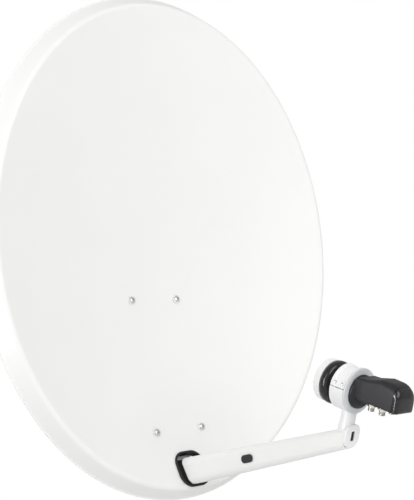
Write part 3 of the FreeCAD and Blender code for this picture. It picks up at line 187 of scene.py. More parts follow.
# A prism of a flat outline (x, z), from one y to another.
def prism(outline, near, far):
    o = np.asarray(outline, float)
    n = len(o)
    ring = [np.stack([o[:, 0], np.full(n, y), o[:, 1]], axis=-1) for y in (near, far)]
    return np.concatenate(ring), stackFaces(2, n)


def addNode(tree, kind, **values):
    node = tree.nodes.new(kind)
    for key, item in values.items():
        setattr(node, key, item)
    return node


# Fine lumps of powder coat or of a moulding's grain, with a slow drift of tone over the piece.
def makeGrainGroup():
    group = bpy.data.node_groups.new("fineGrain", "ShaderNodeTree")
    for name, start in (("Size", 900.0), ("Drift", 6.0), ("Stretch", 0.0)):
        socket = group.interface.new_socket(name, in_out="INPUT", socket_type="NodeSocketFloat")
        socket.default_value = start
    for name in ("Height", "Tone"):
        group.interface.new_socket(name, in_out="OUTPUT", socket_type="NodeSocketFloat")
    entry, leave = addNode(group, "NodeGroupInput"), addNode(group, "NodeGroupOutput")
    place = addNode(group, "ShaderNodeTexCoord")
    lumps = addNode(group, "ShaderNodeTexNoise", noise_dimensions="3D")
    lumps.inputs["Detail"].default_value = 3.0
    slow = addNode(group, "ShaderNodeTexNoise", noise_dimensions="3D")
    slow.inputs["Detail"].default_value = 2.0
    join = group.links.new
    join(place.outputs["Object"], lumps.inputs["Vector"])
    join(place.outputs["Object"], slow.inputs["Vector"])
    join(entry.outputs["Size"], lumps.inputs["Scale"])
    join(entry.outputs["Drift"], slow.inputs["Scale"])
    join(entry.outputs["Stretch"], lumps.inputs["Distortion"])
    join(lumps.outputs["Fac"], leave.inputs["Height"])
    join(slow.outputs["Fac"], leave.inputs["Tone"])
    return group


grainGroup = makeGrainGroup()
finishes = {
    "dishPaint": {"slot": "dish_paint", "base": (0.87, 0.87, 0.862), "tone": 0.02,
                  "rough": (0.42, 0.50), "grain": 700.0, "bump": 0.05, "coat": 0.1},
    "armPaint": {"slot": "arm_paint", "base": (0.86, 0.86, 0.85), "tone": 0.02,
                 "rough": (0.36, 0.44), "grain": 800.0, "bump": 0.06, "coat": 0.15},
    "bracketPaint": {"slot": "bracket_paint", "base": (0.60, 0.61, 0.61), "tone": 0.05,
                     "rough": (0.42, 0.55), "grain": 900.0, "bump": 0.10, "coat": 0.0},
    "zincSteel": {"slot": "zinc_steel", "base": (0.66, 0.67, 0.68), "tone": 0.08,
                  "rough": (0.24, 0.42), "grain": 1500.0, "bump": 0.06, "metal": 1.0},
    "nickel": {"slot": "nickel", "base": (0.74, 0.72, 0.68), "tone": 0.05,
               "rough": (0.14, 0.26), "grain": 1800.0, "bump": 0.03, "metal": 1.0},
    "castMetal": {"slot": "cast_metal", "base": (0.58, 0.58, 0.58), "tone": 0.08,
                  "rough": (0.45, 0.6), "grain": 1100.0, "bump": 0.15, "metal": 1.0},
    "holderPlastic": {"slot": "grey_plastic", "base": (0.86, 0.862, 0.86), "tone": 0.02,
                      "rough": (0.34, 0.42), "grain": 1400.0, "bump": 0.06, "coat": 0.0},
    "palePlastic": {"slot": "pale_plastic", "base": (0.66, 0.68, 0.69), "tone": 0.03,
                    "rough": (0.30, 0.38), "grain": 1400.0, "bump": 0.05, "coat": 0.0},
    "lightPlastic": {"slot": "light_plastic", "base": (0.84, 0.84, 0.835), "tone": 0.02,
                     "rough": (0.32, 0.42), "grain": 1400.0, "bump": 0.05, "coat": 0.0},
    "darkPlastic": {"slot": "dark_plastic", "base": (0.021, 0.019, 0.023), "tone": 0.12,
                    "rough": (0.42, 0.52), "grain": 2200.0, "bump": 0.15, "shine": 0.25},
    "glossBlack": {"slot": "gloss_black", "base": (0.006, 0.006, 0.007), "tone": 0.10,
                   "rough": (0.14, 0.20), "grain": 500.0, "bump": 0.02, "shine": 0.5},
    "sealRubber": {"slot": "seal_rubber", "base": (0.03, 0.03, 0.03), "tone": 0.1,
                   "rough": (0.6, 0.7), "grain": 1500.0, "bump": 0.1, "coat": 0.0},
    "boardGreen": {"slot": "board_green", "base": (0.03, 0.16, 0.08), "tone": 0.1,
                   "rough": (0.3, 0.4), "grain": 1500.0, "bump": 0.05, "coat": 0.2},
}


# Base colour and roughness run between two values with the slow tone, and the grain lifts the surface.
def makeFinish(name, look):
    material = bpy.data.materials.new(name)
    material.use_nodes = True
    tree = material.node_tree
    shader = tree.nodes["Principled BSDF"]
    grain = addNode(tree, "ShaderNodeGroup", node_tree=grainGroup)
    grain.inputs["Size"].default_value = look["grain"]
    colour = addNode(tree, "ShaderNodeMix", data_type="RGBA")
    base = np.array(look["base"])
    colour.inputs["A"].default_value = (*(base * (1 - look["tone"])), 1)
    colour.inputs["B"].default_value = (*np.minimum(base * (1 + look["tone"]), 1), 1)
    rough = addNode(tree, "ShaderNodeMapRange")
    rough.inputs["To Min"].default_value, rough.inputs["To Max"].default_value = look["rough"]
    bump = addNode(tree, "ShaderNodeBump")
    bump.inputs["Strength"].default_value = look["bump"]
    bump.inputs["Distance"].default_value = 0.0002
    shader.inputs["Metallic"].default_value = look.get("metal", 0.0)
    shader.inputs["Specular IOR Level"].default_value = look.get("shine", 0.5)
    shader.inputs["Coat Weight"].default_value = look.get("coat", 0.0)
    shader.inputs["Coat Roughness"].default_value = 0.25
    join = tree.links.new
    join(grain.outputs["Tone"], colour.inputs["Factor"])
    join(colour.outputs["Result"], shader.inputs["Base Color"])
    join(grain.outputs["Tone"], rough.inputs["Value"])
    join(rough.outputs["Result"], shader.inputs["Roughness"])
    join(grain.outputs["Height"], bump.inputs["Height"])
    join(bump.outputs["Normal"], shader.inputs["Normal"])
    return material


materials = {look["slot"]: makeFinish(name, look) for name, look in finishes.items()}
print("finishes made:", len(materials))

reflectorSheet = {
    "thickness": 1.2, "lipSlope": 23.0, "lipRadius": 8.0, "flangeWidth": 24.6, "flangeDrop": 26.5,
    "hemRadius": 1.8, "around": 384, "bowlRings": 44, "openingHeight": 26.4, "openingHalf": 30.5,
    "openingTall": 31.0, "openingCorner": 21.0, "openingSteps": 16, "cutReach": 25.0, "lipSteps": 12,
    "hemSteps": 20, "flangeSteps": 7,
}


def arc(middle, radius, first, last, steps):
    a = np.linspace(first, last, steps)[:, None]
    return middle + radius * np.hstack([np.cos(a), np.sin(a)])


# The bowl is y = -(x x + z z) / 4f over a disc; the rim's profile is carried round the bowl's edge, an
# ellipse in the tilted rim plane, as outward and forward distances.
def makeReflector(size):
    focal, radius, offset = layout["focalLength"], layout["apertureRadius"], layout["apertureOffset"]
    tilt = math.atan(offset / (2 * focal))
    angle = np.linspace(0, 2 * math.pi, size["around"], endpoint=False)
    share = np.linspace(0, 1, size["bowlRings"])[:, None]
    x = share * radius * np.sin(angle)
    z = offset + share * radius * np.cos(angle)
    front = np.stack([x, -(x * x + z * z) / (4 * focal), z], axis=-1)
    normal = np.stack([x / (2 * focal), np.ones_like(x), z / (2 * focal)], axis=-1)
    normal /= np.linalg.norm(normal, axis=-1, keepdims=True)
    back = front + normal * size["thickness"]
    slope = math.radians(size["lipSlope"])
    bend, deep = size["lipRadius"], size["thickness"]
    centre = np.array([bend * math.sin(slope), -bend * math.cos(slope)])
    begin = math.pi / 2 + slope
    toEnd = np.array([size["flangeWidth"], -size["flangeDrop"]]) - centre
    leave = math.atan2(toEnd[1], toEnd[0]) + math.acos(bend / math.hypot(*toEnd))

    outward = np.array([math.cos(leave), math.sin(leave)])
    hemCentre = np.array([size["flangeWidth"], -size["flangeDrop"]]) - outward * deep / 2
    along = leave + math.pi / 2
    start = math.asin(deep / 2 / size["hemRadius"])
    rollFront = arc(centre, bend, begin, leave, size["lipSteps"])[1:]
    rollBack = arc(centre, bend - deep, leave, begin, size["lipSteps"])
    hem = arc(hemCentre, size["hemRadius"], along - start, along - 2 * math.pi + start, size["hemSteps"])
    steps = np.linspace(0, 1, size["flangeSteps"])[1:-1, None]
    flangeFront = rollFront[-1] * (1 - steps) + hem[0] * steps
    flangeBack = hem[-1] * (1 - steps) + rollBack[0] * steps
    section = np.vstack([rollFront, flangeFront, hem, flangeBack, rollBack])
    rimUp = np.array([0, -math.sin(tilt), math.cos(tilt)])
    rimForward = np.array([0, -math.cos(tilt), -math.sin(tilt)])
    rimCentre = np.array([0, -(radius ** 2 + offset ** 2) / (4 * focal), offset])
    out, forward = section[:, :1, None], section[:, 1:, None]
    cosine, sine = np.cos(angle)[None, :, None], np.sin(angle)[None, :, None]
    rim = rimCentre + rimUp * (radius / math.cos(tilt) + out) * cosine
    rim = rim + xAxis * (radius + out) * sine + rimForward * forward
    rings = np.concatenate([front, rim, back[::-1][1:]])
    mesh = buildMesh("dishReflector", [(onBeam(rings), gridFaces(len(rings), size["around"]))])
    piece = newPiece("dish_reflector", mesh, "dish_side", "dish_paint", ["reflector"])
    outline = roundedSection(size["openingHalf"], size["openingTall"], size["openingCorner"],
                             size["openingSteps"])
    outline[:, 1] += size["openingHeight"]
    block, faces = prism(outline, -size["cutReach"], size["cutReach"])
    carved(piece, [(onBeam(block), faces)])
    return piece


makeReflector(reflectorSheet)
print("reflector made")

armTube = {
    "rootWide": 46.0, "rootTall": 46.5, "tipWide": 30.0, "tipTall": 30.2, "rootCorner": 12.0,
    "tipCorner": 9.0, "wall": 2.0, "start": 8.0, "edge": 0.5, "rings": 12, "cornerSteps": 10,
}


# Straight lines join two rounded rectangles and end in two planes: the root's, square to the beam, and
# the tip's, square to the head. The inner wall is the same with its sides moved in.
def makeArm(size):
    ends = []
    for inset in (0.0, size["wall"]):
        root, tip = [roundedSection(size[end + "Wide"] / 2 - inset, size[end + "Tall"] / 2 - inset,
                                    size[end + "Corner"] - inset, size["cornerSteps"])
                     for end in ("root", "tip")]
        first = armRoot + root[:, :1] * xAxis + root[:, 1:] * armUp
        last = armTip + tip[:, :1] * xAxis + tip[:, 1:] * armUp
        run = last - first
        toRoot = (-size["start"] - (first - vertexPoint) @ beamBack) / (run @ beamBack)
        toTip = (-layout["armEnd"] - (first - headPoint) @ headBack) / (run @ headBack)
        ends.append((first + run * toRoot[:, None], first + run * toTip[:, None]))
    (outerRoot, outerTip), (innerRoot, innerTip) = ends
    share = np.linspace(0, 1, size["rings"])[:, None, None]
    edge = size["edge"] / armLength
    outer = outerRoot + (outerTip - outerRoot) * (edge + (1 - 2 * edge) * share)
    inner = innerTip + (innerRoot - innerTip) * share
    lipTip = outerTip + (innerTip - outerTip) * size["edge"] / size["wall"]
    lipRoot = outerRoot + (innerRoot - outerRoot) * size["edge"] / size["wall"]
    rings = np.concatenate([outer, lipTip[None], inner, lipRoot[None]]) * mm
    faces = gridFaces(len(rings), len(outerRoot), wrapRows=True)
    return newPiece("arm_tube", buildMesh("armTube", [(rings, faces)], 40), "dish_side", "arm_paint",
                    ["feed_arm"])


makeArm(armTube)
print("feed arm made")

clampRing = {
    "front": -22.0, "back": -48.8, "bore": 26.3, "outside": 34.6, "split": 3.5, "gap": 1.5, "recess": 2.2,
    "border": 3.6, "panelLow": 8.0, "blend": 0.5, "chamfer": 0.7, "ease": 0.05, "rows": 90, "around": 180,
}


# Rises from 0 to 1 between the two limits, level at both.
def eased(value, low, high):
    s = np.clip((value - low) / (high - low), 0, 1)
    return s * s * (3 - 2 * s)


# Half of the ring: its closed section runs from one split face to the other, so each point of it starts
# and ends at the split's height. The upper half has a shallow panel sunk between its borders.
def halfRing(size, upper):
    front, back, bore, outside = size["front"], size["back"], size["bore"], size["outside"]
    chamfer, ease = size["chamfer"], size["ease"]
    outer = [(outside, t) for t in np.linspace(front, back, size["rows"])]
    section = [(bore, front), *outer, (bore, back)]
    section[1:3] = [(outside - chamfer, front), (outside - ease, front - chamfer)]
    section[-3:-1] = [(outside - ease, back + chamfer), (outside - chamfer, back)]
    section = np.array(section)
    level = size["split"] + (size["gap"] / 2 if upper else -size["gap"] / 2)
    r, t = section[:, :1], section[:, 1:]
    share = np.linspace(0, 1, size["around"])[None, :]
    edge = np.arcsin(level / r)
    sweep = math.pi - 2 * edge if upper else -(math.pi + 2 * edge)
    angle = edge + sweep * share
    radius = np.repeat(r, size["around"], 1)
    if upper:
        border, blend = size["border"], size["blend"]
        lowest = math.asin(size["panelLow"] / outside)
        inPanel = eased(np.minimum(angle, math.pi - angle), lowest, lowest + blend / outside)
        inPanel = inPanel * eased(-t, -front + border, -front + border + blend)
        inPanel = inPanel * (1 - eased(-t, -back - border, -back - border + blend))
        radius = radius - np.where(radius > bore + 1, size["recess"] * inPanel, 0)
    along = np.repeat(t, size["around"], 1)
    points = np.stack([radius * np.cos(angle), along, radius * np.sin(angle)], axis=-1)
    faces = gridFaces(len(section), size["around"], wrapRows=True, wrapColumns=False).tolist()
    rows = np.arange(len(section)) * size["around"]
    faces += [rows.tolist(), (rows[::-1] + size["around"] - 1).tolist()]
    return onHead(points), faces


holderShape = {
    "neckWide": 22.0, "neckLong": 21.5, "neckFar": 50.5, "neckRound": 1.5, "flare": 1.0, "flareTop": -48.0,
    "levels": (-29.0, -35.6, -48.0, -52.0, -56.0, -59.0, -68.0), "step": -35.5, "capBack": 54.05,
    "capWide": 32.5, "capTall": 35.5, "capMiddle": -69.5, "capFront": 50.55, "capEdge": 0.9, "capFlat": 3.5,
    "slotWide": 7.6, "slotTall": 15.0, "slotDeep": 3.0, "slotCorner": 1.6,
}


# Neck: an oval of half sizes a and b that grows near the arm. Cap: a rounded plate with softened edges.
def makeHolder(size):
    middle = -size["neckFar"] + size["neckLong"] / 2
    levels = np.array(size["levels"])
    grow = size["flare"] * np.clip((size["flareTop"] - levels) / 11, 0, 1) ** 2
    rings = []
    for level, extra in zip(levels, grow):
        oval = roundedSection(size["neckWide"] / 2 + extra, size["neckLong"] / 2,
                              size["neckWide"] / 2 - size["neckRound"], 10)
        far = oval[:, 1] + middle
        if level > size["step"]:
            far = np.maximum(far, clampRing["back"] + 0.2)
        far = far + extra * (oval[:, 1] > 5)
        rings.append(np.stack([oval[:, 0], far, np.full(len(oval), level)], axis=-1))
    neck = np.array(rings)
    parts = [halfRing(clampRing, False), (onHead(neck), stackFaces(*neck.shape[:2]))]
    a, b, edge = size["capWide"] / 2, size["capTall"] / 2, size["capEdge"]
    front, back = -size["capFront"], -size["capBack"]
    steps = [(edge * 0.6, front), (0.0, front - edge * 0.6), (0.0, back + edge)]
    turns = (0.4, 0.8, 1.2, math.pi / 2)
    steps += [(edge * (1 - math.cos(q)), back + edge * (1 - math.sin(q))) for q in turns]
    plate = []
    for inset, along in steps:
        outline = roundedSection(a - inset, b - inset, a - size["capFlat"] - inset, 14)
        height = outline[:, 1] + size["capMiddle"]
        plate.append(np.stack([outline[:, 0], np.full(len(outline), along), height], axis=-1))
    plate = np.array(plate)
    newPiece("holder_body", buildMesh("holderBody", parts, 38), "dish_side", "grey_plastic", ["lnb_holder"])
    plateMesh = buildMesh("holderPlate", [(onHead(plate), stackFaces(*plate.shape[:2]))], 38)
    piece = newPiece("holder_plate", plateMesh, "dish_side", "grey_plastic", [])
    slot = roundedSection(size["slotWide"] / 2, size["slotTall"] / 2, size["slotCorner"], 6)
    slot[:, 1] += size["capMiddle"]
    block, faces = prism(slot, back - 1, back + size["slotDeep"])
    carved(piece, [(onHead(block), faces)], 38)
    return piece


makeHolder(holderShape)
ringCapMesh = buildMesh("ringCap", [halfRing(clampRing, True)], 38)
ringCap = newPiece("ring_cap", ringCapMesh, "dish_side", "grey_plastic", ["clamp_cap"])

screwPocket = {"half": 30.4, "spots": (-28.4, -42.4), "radius": 2.7, "seat": 8.5, "top": 40.0, "sides": 32}


# Round pockets down to the seats of the ring's screws.
def makePockets(piece, size):
    angle = np.linspace(0, 2 * math.pi, size["sides"], endpoint=False)
    outline = size["radius"] * np.stack([np.cos(angle), np.sin(angle)], axis=-1)
    block, faces = prism(outline, size["seat"], size["top"])
    upright = block[:, [0, 2, 1]]
    turnedFaces = [list(reversed(face)) for face in faces]
    carved(piece, [(onHead(upright + (side * size["half"], spot, 0)), turnedFaces)
                   for side in (-1, 1) for spot in size["spots"]], 38)


makePockets(ringCap, screwPocket)
print("holder and ring made")

sleeveTurn = {
    "outline": [(20.3, -52.2), (35.2, -52.2), (35.2, -48.85), (26.0, -48.85), (26.0, -16.0), (20.3, -16.0)],
    "rounding": 0.9,
}
ringTurn = {
    "outline": [(20.05, -15.7), (24.0, -15.7), (27.0, -14.4), (31.0, -12.6), (33.3, -9.6), (33.4, -6.4),
                (33.3, -3.0), (31.0, 0.25), (27.55, 0.25), (27.55, -8.0), (20.05, -14.7)],
    "rounding": [0.3, 1.0, 1.5, 4.0, 4.0, 4.0, 4.0, 1.2, 0.3, 0.3, 0.3],
}


def makeTurned(name, look, body, slotName, replaced, steps=128):
    profile = softened(look["outline"], look["rounding"])
    points, faces = turned(profile, steps)
    return newPiece(name, buildMesh(name, [(onHead(points), faces)], 40), body, slotName, replaced)


makeTurned("focus_ring", sleeveTurn, "focus_sleeve", "pale_plastic", ["adapter_sleeve"])
makeTurned("black_ring", ringTurn, "converter", "gloss_black", ["horn_ring"])

capShape = {
    "outside": 32.6, "wall": 2.2, "front": 13.5, "back": 0.3, "ribs": 96, "ribDepth": 0.35, "steps": 768,
}


# Front cap: a shallow dome on a skirt whose radius waves in and out ribs times round.
def makeFrontCap(size):
    r, front, back, wall = size["outside"], size["front"], size["back"], size["wall"]
    corners = [(0.0, front), (r - 5, front - 0.4), (r - 0.6, front - 1.4), (r, front - 3), (r, back)]
    outside = softened(corners, [0, 4, 2.0, 1.2, 0], 6, False)
    inside = softened([(r - wall, back), (r - wall, front - 2.6), (0.0, front - 1.6)], [0, 1.0, 0], 4, False)
    profile = np.vstack([outside, inside])
    angle = np.linspace(0, 2 * math.pi, size["steps"], endpoint=False)
    onSkirt = ((profile[:, 0] > r - 0.6) & (profile[:, 1] < front - 2.4))[:, None]
    radius = profile[:, :1] - onSkirt * size["ribDepth"] * (0.5 - 0.5 * np.cos(size["ribs"] * angle))
    along = np.repeat(profile[:, 1:], size["steps"], 1)
    points = np.stack([radius * np.sin(angle), along, radius * np.cos(angle)], axis=-1)
    faces = gridFaces(len(profile), size["steps"])
    mesh = buildMesh("frontCap", [(onHead(points), faces)], 40)
    return newPiece("front_cap", mesh, "converter", "light_plastic", ["feed_cap"])


makeFrontCap(capShape)
print("converter's rings made")

housingShape = {
    "half": 21.5, "noseHalf": 20.5, "widen": 16.0, "begin": 55.55, "seam": 127.9, "seamGap": 0.35,
    "end": 137.9, "corner": 6.0, "arch": 22.0, "endBow": 0.8, "baseBevel": 3.0, "baseRise": 4.0,
    "noseRound": 3.0, "roundTop": 12.0, "roundSpan": (60.0, 118.0), "roundBase": 3.0, "groove": 0.975,
    "topLine": [(0, 22.0), (4, 25.0), (18, 26.0), (44, 33.2)], "baseLine": [(0, -3.7), (10, -7.4)],
    "bossRadius": 26.0, "bossBore": 18.1, "bossTail": 20.0, "bossFront": 52.55, "bossBack": 58.55,
    "bossSteps": 128,
}


# The housing's half width, top and base at each distance behind the horn.
def housingSection(size, along):
    begin, end, corner, arch = size["begin"], size["end"], size["corner"], size["arch"]
    top = np.interp(along - begin, *zip(*size["topLine"]))
    past = np.clip((along - (end - arch)) / arch, 0, 1)
    top = top - arch * (1 - np.sqrt(1 - past ** 2))
    rise = np.clip((along - (end - size["baseBevel"])) / size["baseBevel"], 0, 1)
    base = np.interp(along - begin, *zip(*size["baseLine"])) + rise ** 2 * size["baseRise"]
    spread = np.clip((along - begin) / size["widen"], 0, 1)
    half = size["noseHalf"] + (size["half"] - size["noseHalf"]) * spread
    turn = np.clip((along - (end - corner)) / (corner - size["endBow"]), 0, 1)
    half = half - corner * (1 - np.sqrt(1 - turn ** 2))
    bow = np.clip((end - along) / size["endBow"], 0, 1)
    return half * np.sqrt(bow), top, base


# Rings of the section with rounded corners, larger at the top and towards the rear.
def housingGrid(size, distances, quarter=9):
    rings = []
    for along, half, top, base in zip(distances, *housingSection(size, distances)):
        limit = half * 0.95 + 0.01
        topCorner = min(np.interp(along, size["roundSpan"], [size["noseRound"], size["roundTop"]]), limit)
        baseCorner = min(size["roundBase"], limit)
        q = np.linspace(0, math.pi / 2, quarter)
        cosine, sine = np.cos(q), np.sin(q)
        upper = np.stack([half - topCorner + topCorner * cosine, top - topCorner + topCorner * sine], axis=-1)
        lower = np.stack([half - baseCorner + baseCorner * sine, base + baseCorner - baseCorner * cosine],
                         axis=-1)
        right = np.vstack([lower, upper])
        left = right[::-1] * (-1, 1)
        ring = np.vstack([right, left])
        rings.append(np.stack([ring[:, 0], np.full(len(ring), -along), ring[:, 1]], axis=-1))
    return np.array(rings)


# Body: the sections in front of the seam, closed at both ends, and the round boss in front of them.
def makeHousing(size):
    begin, seam = size["begin"], size["seam"]
    distances = np.concatenate([[begin, begin + 0.6], np.linspace(57, 76, 14),
                                np.linspace(79, seam - 0.5, 26), [seam - size["seamGap"]]])
    grid = housingGrid(size, distances)
    radius, front, back = size["bossRadius"], -size["bossFront"], -size["bossBack"]
    bore, tail, middle = size["bossBore"], back - 4, 0.01
    corners = [(bore, front), (radius, front), (radius, back + 2), (size["bossTail"], tail), (middle, tail),
               (middle, front - 5.1), (bore, front - 5.1)]
    boss = softened(corners, [0.3, 0.8, 2.0, 1.5, 0, 0, 0.3])
    bossPoints, bossFaces = turned(boss, size["bossSteps"])
    parts = [(onHead(grid), stackFaces(*grid.shape[:2])), (onHead(bossPoints), bossFaces)]
    mesh = buildMesh("housingBody", parts, 40)
    return newPiece("housing_body", mesh, "converter", "dark_plastic", ["lnb_housing"])


# Hood: the sections behind the seam. Its first ring is drawn in a little, which leaves a fine groove.
def makeHood(size):
    start = size["seam"] + size["seamGap"]
    first = np.array([start, start, start + 0.6])
    past = size["end"] - (size["end"] - first[-1]) * np.cos(np.linspace(0.05, math.pi / 2 - 0.02, 46))
    grid = housingGrid(size, np.concatenate([first, past]))
    middle = grid[0].mean(axis=0)
    grid[0] = middle + (grid[0] - middle) * size["groove"]
    mesh = buildMesh("hoodShell", [(onHead(grid), stackFaces(*grid.shape[:2]))], 48)
    return newPiece("hood_shell", mesh, "converter", "gloss_black", ["rear_hood"])


makeHousing(housingShape)
makeHood(housingShape)
print("converter housing made")

portShape = {
    "half": 11.5, "first": 87.0, "pitch": 20.0, "top": -10.9, "low": -18.2, "radius": 4.8, "thread": 0.32,
    "threadPitch": 0.79, "bore": 3.5, "boreDeep": 6.0, "hexCorner": 6.9, "hexTop": -7.3, "lip": 0.7,
}


# Connector: a barrel whose radius waves once per thread, with a blind bore, under a hexagonal shoulder.
def makePorts(size):
    rows = np.linspace(size["top"], size["low"] + 0.6, 60)
    wave = np.abs(((rows - size["top"]) / size["threadPitch"]) % 1 - 0.5) * 2
    barrel = np.stack([size["radius"] - size["thread"] * wave, rows], axis=-1)
    low, bore, deep = size["low"], size["bore"], size["low"] + size["boreDeep"]
    end = [(size["radius"] - size["lip"], low), (bore + 0.2, low), (bore, low + 0.3), (bore, deep),
           (0.0, deep)]
    profile = np.vstack([[(0.0, size["top"])], barrel, end])
    points, faces = turned(profile, 40, closed=False)
    upright = points[:, [0, 2, 1]]
    outline = np.array([(math.cos(a), math.sin(a)) for a in np.arange(6) * math.pi / 3]) * size["hexCorner"]
    parts = []
    for side in (-1, 1):
        for step in (0, 1):
            shift = np.array([side * size["half"], -size["first"] - step * size["pitch"], 0])
            parts.append((onHead(upright + shift), faces))
            hexBlock, hexFaces = prism(outline, size["hexTop"], size["top"] - 0.05)
            parts.append((onHead(hexBlock[:, [0, 2, 1]] + shift), hexFaces))
    mesh = buildMesh("portBarrels", parts, 34)
    return newPiece("port_barrels", mesh, "converter", "nickel", ["coax_connectors"])


makePorts(portShape)
print("connectors made")

# The remaining CAD pieces: a merged copy with fine rounded edges, or the node itself where it is hidden.
edgeRounding = {
    "back_bracket": 0.5, "mast_bracket": 0.9, "upper_clamp_jaw": 0.8, "lower_clamp_jaw": 0.8,
    "front_washers": 0.5, "bracket_spacers": 0.4, "arm_collar": 0.3, "arm_socket": 0.6, "side_plug": 0.5,
    "slot_plug": 0.5, "reflector_bolts": 0.15, "reflector_nuts": 0.3, "clamp_bolts": 0.25,
    "upper_clamp_nuts": 0.3, "lower_clamp_nuts": 0.3, "upper_clamp_washers": 0.2,
    "lower_clamp_washers": 0.2, "pivot_bolt": 0.25, "pivot_nut": 0.3, "pivot_washer": 0.2,
    "lock_bolts": 0.25, "lock_nuts": 0.3, "lock_washers": 0.2, "arm_bolts": 0.25, "arm_bolt_washers": 0.2,
    "clamp_cap_screws": 0.2,
}
slotOf = {row["node"]: row["material_slot"] for row in frame["record"]["subparts"]}
bodyOf = {node: body for body, members in frame["record"]["behaviour"]["bodies"].items() for node in members}
for nodeName, rounding in edgeRounding.items():
    mesh = frame["nodes"][nodeName].data.copy()
    work = bmesh.new()
    work.from_mesh(mesh)
    bmesh.ops.remove_doubles(work, verts=work.verts, dist=0.000002)
    bmesh.ops.dissolve_limit(work, angle_limit=math.radians(0.5), verts=work.verts, edges=work.edges)
    work.to_mesh(mesh)
    work.free()
    shadeSmooth(mesh, 30)
    piece = newPiece(nodeName + "_finish", mesh, bodyOf[nodeName], slotOf[nodeName], [nodeName])
    bevel = piece.modifiers.new("edges", "BEVEL")
    bevel.width, bevel.segments = rounding * mm, 2
    bevel.limit_method, bevel.angle_limit = "ANGLE", math.radians(35)
    bevel.harden_normals = True
replacedNodes = {"reflector", "feed_arm", "lnb_holder", "clamp_cap", "adapter_sleeve", "horn_ring",
                 "feed_cap", "lnb_housing", "rear_hood", "coax_connectors"} | set(edgeRounding)
for nodeName, node in frame["nodes"].items():
    if nodeName not in replacedNodes:
        node.data.materials.clear()
        node.data.materials.append(materials[slotOf[nodeName]])
print("fasteners and brackets finished:", len(edgeRounding))

studio = {
    "world": 0.62, "floorSize": 30.0, "floorTone": 0.86, "floorRough": 0.9, "floorSeen": 0.97,
    "floorGlow": 1.02, "keyPower": 34.0, "keySpot": (-0.2, -3.0, 1.3), "keySize": 2.2, "fillPower": 23.0,
    "fillSpot": (-2.8, -0.6, 1.2), "fillSize": 2.0, "dishMiddle": (0, -0.2, 0.15), "stripPower": 14.0,
    "stripSpot": (-1.3, -0.25, -0.02), "stripWide": 0.25, "stripTall": 0.75,
    "headMiddle": (0, -0.68, -0.02),
}


def makeFloor(level):
    mesh = bpy.data.meshes.new("floor")
    far = studio["floorSize"]
    corners = [(-far, -far, level), (far, -far, level), (far, far, level), (-far, far, level)]
    mesh.from_pydata(corners, [], [(0, 1, 2, 3)])
    floor = bpy.data.objects.new("floor", mesh)
    bpy.context.scene.collection.objects.link(floor)
    paint = bpy.data.materials.new("floorPaint")
    paint.use_nodes = True
    tree = paint.node_tree
    shader = tree.nodes["Principled BSDF"]
    shader.inputs["Base Color"].default_value = (*[studio["floorTone"]] * 3, 1)
    shader.inputs["Roughness"].default_value = studio["floorRough"]
    output = tree.nodes["Material Output"]
    glow = addNode(tree, "ShaderNodeEmission")
    path = addNode(tree, "ShaderNodeLightPath")
    seen = addNode(tree, "ShaderNodeMath", operation="MULTIPLY")
    seen.inputs[1].default_value = studio["floorSeen"]
    glow.inputs["Strength"].default_value = studio["floorGlow"]
    blend = addNode(tree, "ShaderNodeMixShader")
    tree.links.new(path.outputs["Is Camera Ray"], seen.inputs[0])
    tree.links.new(seen.outputs["Value"], blend.inputs[0])
    tree.links.new(shader.outputs["BSDF"], blend.inputs[1])
    tree.links.new(glow.outputs["Emission"], blend.inputs[2])
    tree.links.new(blend.outputs["Shader"], output.inputs["Surface"])
    mesh.materials.append(paint)


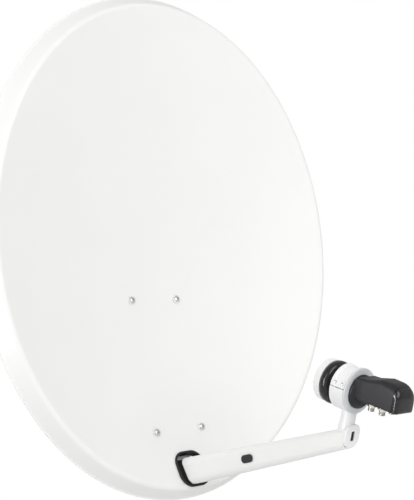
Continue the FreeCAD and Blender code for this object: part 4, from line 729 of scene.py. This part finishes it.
def makeWorld():
    world = bpy.data.worlds.new("studioAir")
    bpy.context.scene.world = world
    world.use_nodes = True
    tree = world.node_tree
    background = tree.nodes["Background"]
    path = addNode(tree, "ShaderNodeLightPath")
    level = addNode(tree, "ShaderNodeMapRange")
    level.inputs["To Min"].default_value = studio["world"]
    level.inputs["To Max"].default_value = 1.0
    tree.links.new(path.outputs["Is Camera Ray"], level.inputs["Value"])
    tree.links.new(level.outputs["Result"], background.inputs["Strength"])
    background.inputs["Color"].default_value = (1, 1, 1, 1)


# An object's place from its own X, Y and Z directions and its origin.
def axesMatrix(x, y, z, origin):
    return Matrix([(x[k], y[k], z[k], origin[k]) for k in range(3)] + [(0, 0, 0, 1)])


def addLamp(name, spot, target, size, power):
    lamp = bpy.data.lights.new(name, "AREA")
    lamp.shape, lamp.size, lamp.energy = "DISK", size, power
    holder = bpy.data.objects.new(name, lamp)
    bpy.context.scene.collection.objects.link(holder)
    away = np.array(spot) - np.array(target)
    away = away / np.linalg.norm(away)
    side = np.cross((0, 0, 1), away)
    side = side / np.linalg.norm(side)
    up = np.cross(away, side)
    holder.matrix_world = axesMatrix(side, up, away, spot)
    return holder


view = {"position": (-1.3037, -1.6593, 0.1621), "azimuth": 43.35, "rise": 0.772, "lens": 80.64}


def makeCamera():
    camera = bpy.data.cameras.new("photoCamera")
    camera.lens, camera.sensor_width, camera.sensor_fit = view["lens"], 36.0, "AUTO"
    camera.clip_start, camera.clip_end = 0.05, 100.0
    holder = bpy.data.objects.new("photoCamera", camera)
    bpy.context.scene.collection.objects.link(holder)
    turn, rise = math.radians(view["azimuth"]), math.radians(view["rise"])
    forward = np.array([math.sin(turn) * math.cos(rise), math.cos(turn) * math.cos(rise), math.sin(rise)])
    right = np.array([math.cos(turn), -math.sin(turn), 0.0])
    up = np.cross(right, forward)
    holder.matrix_world = axesMatrix(right, up, -forward, view["position"])
    bpy.context.scene.camera = holder


makeFloor(layout["floorLevel"])
makeWorld()
addLamp("keyLamp", studio["keySpot"], studio["dishMiddle"], studio["keySize"], studio["keyPower"])
addLamp("fillLamp", studio["fillSpot"], studio["dishMiddle"], studio["fillSize"], studio["fillPower"])
stripLamp = addLamp("stripLamp", studio["stripSpot"], studio["headMiddle"], studio["stripWide"],
                    studio["stripPower"])
stripLamp.data.shape, stripLamp.data.size_y = "RECTANGLE", studio["stripTall"]
stripLamp.visible_diffuse = False
makeCamera()
bpy.context.scene.view_settings.view_transform = "Standard"
print("studio ready")
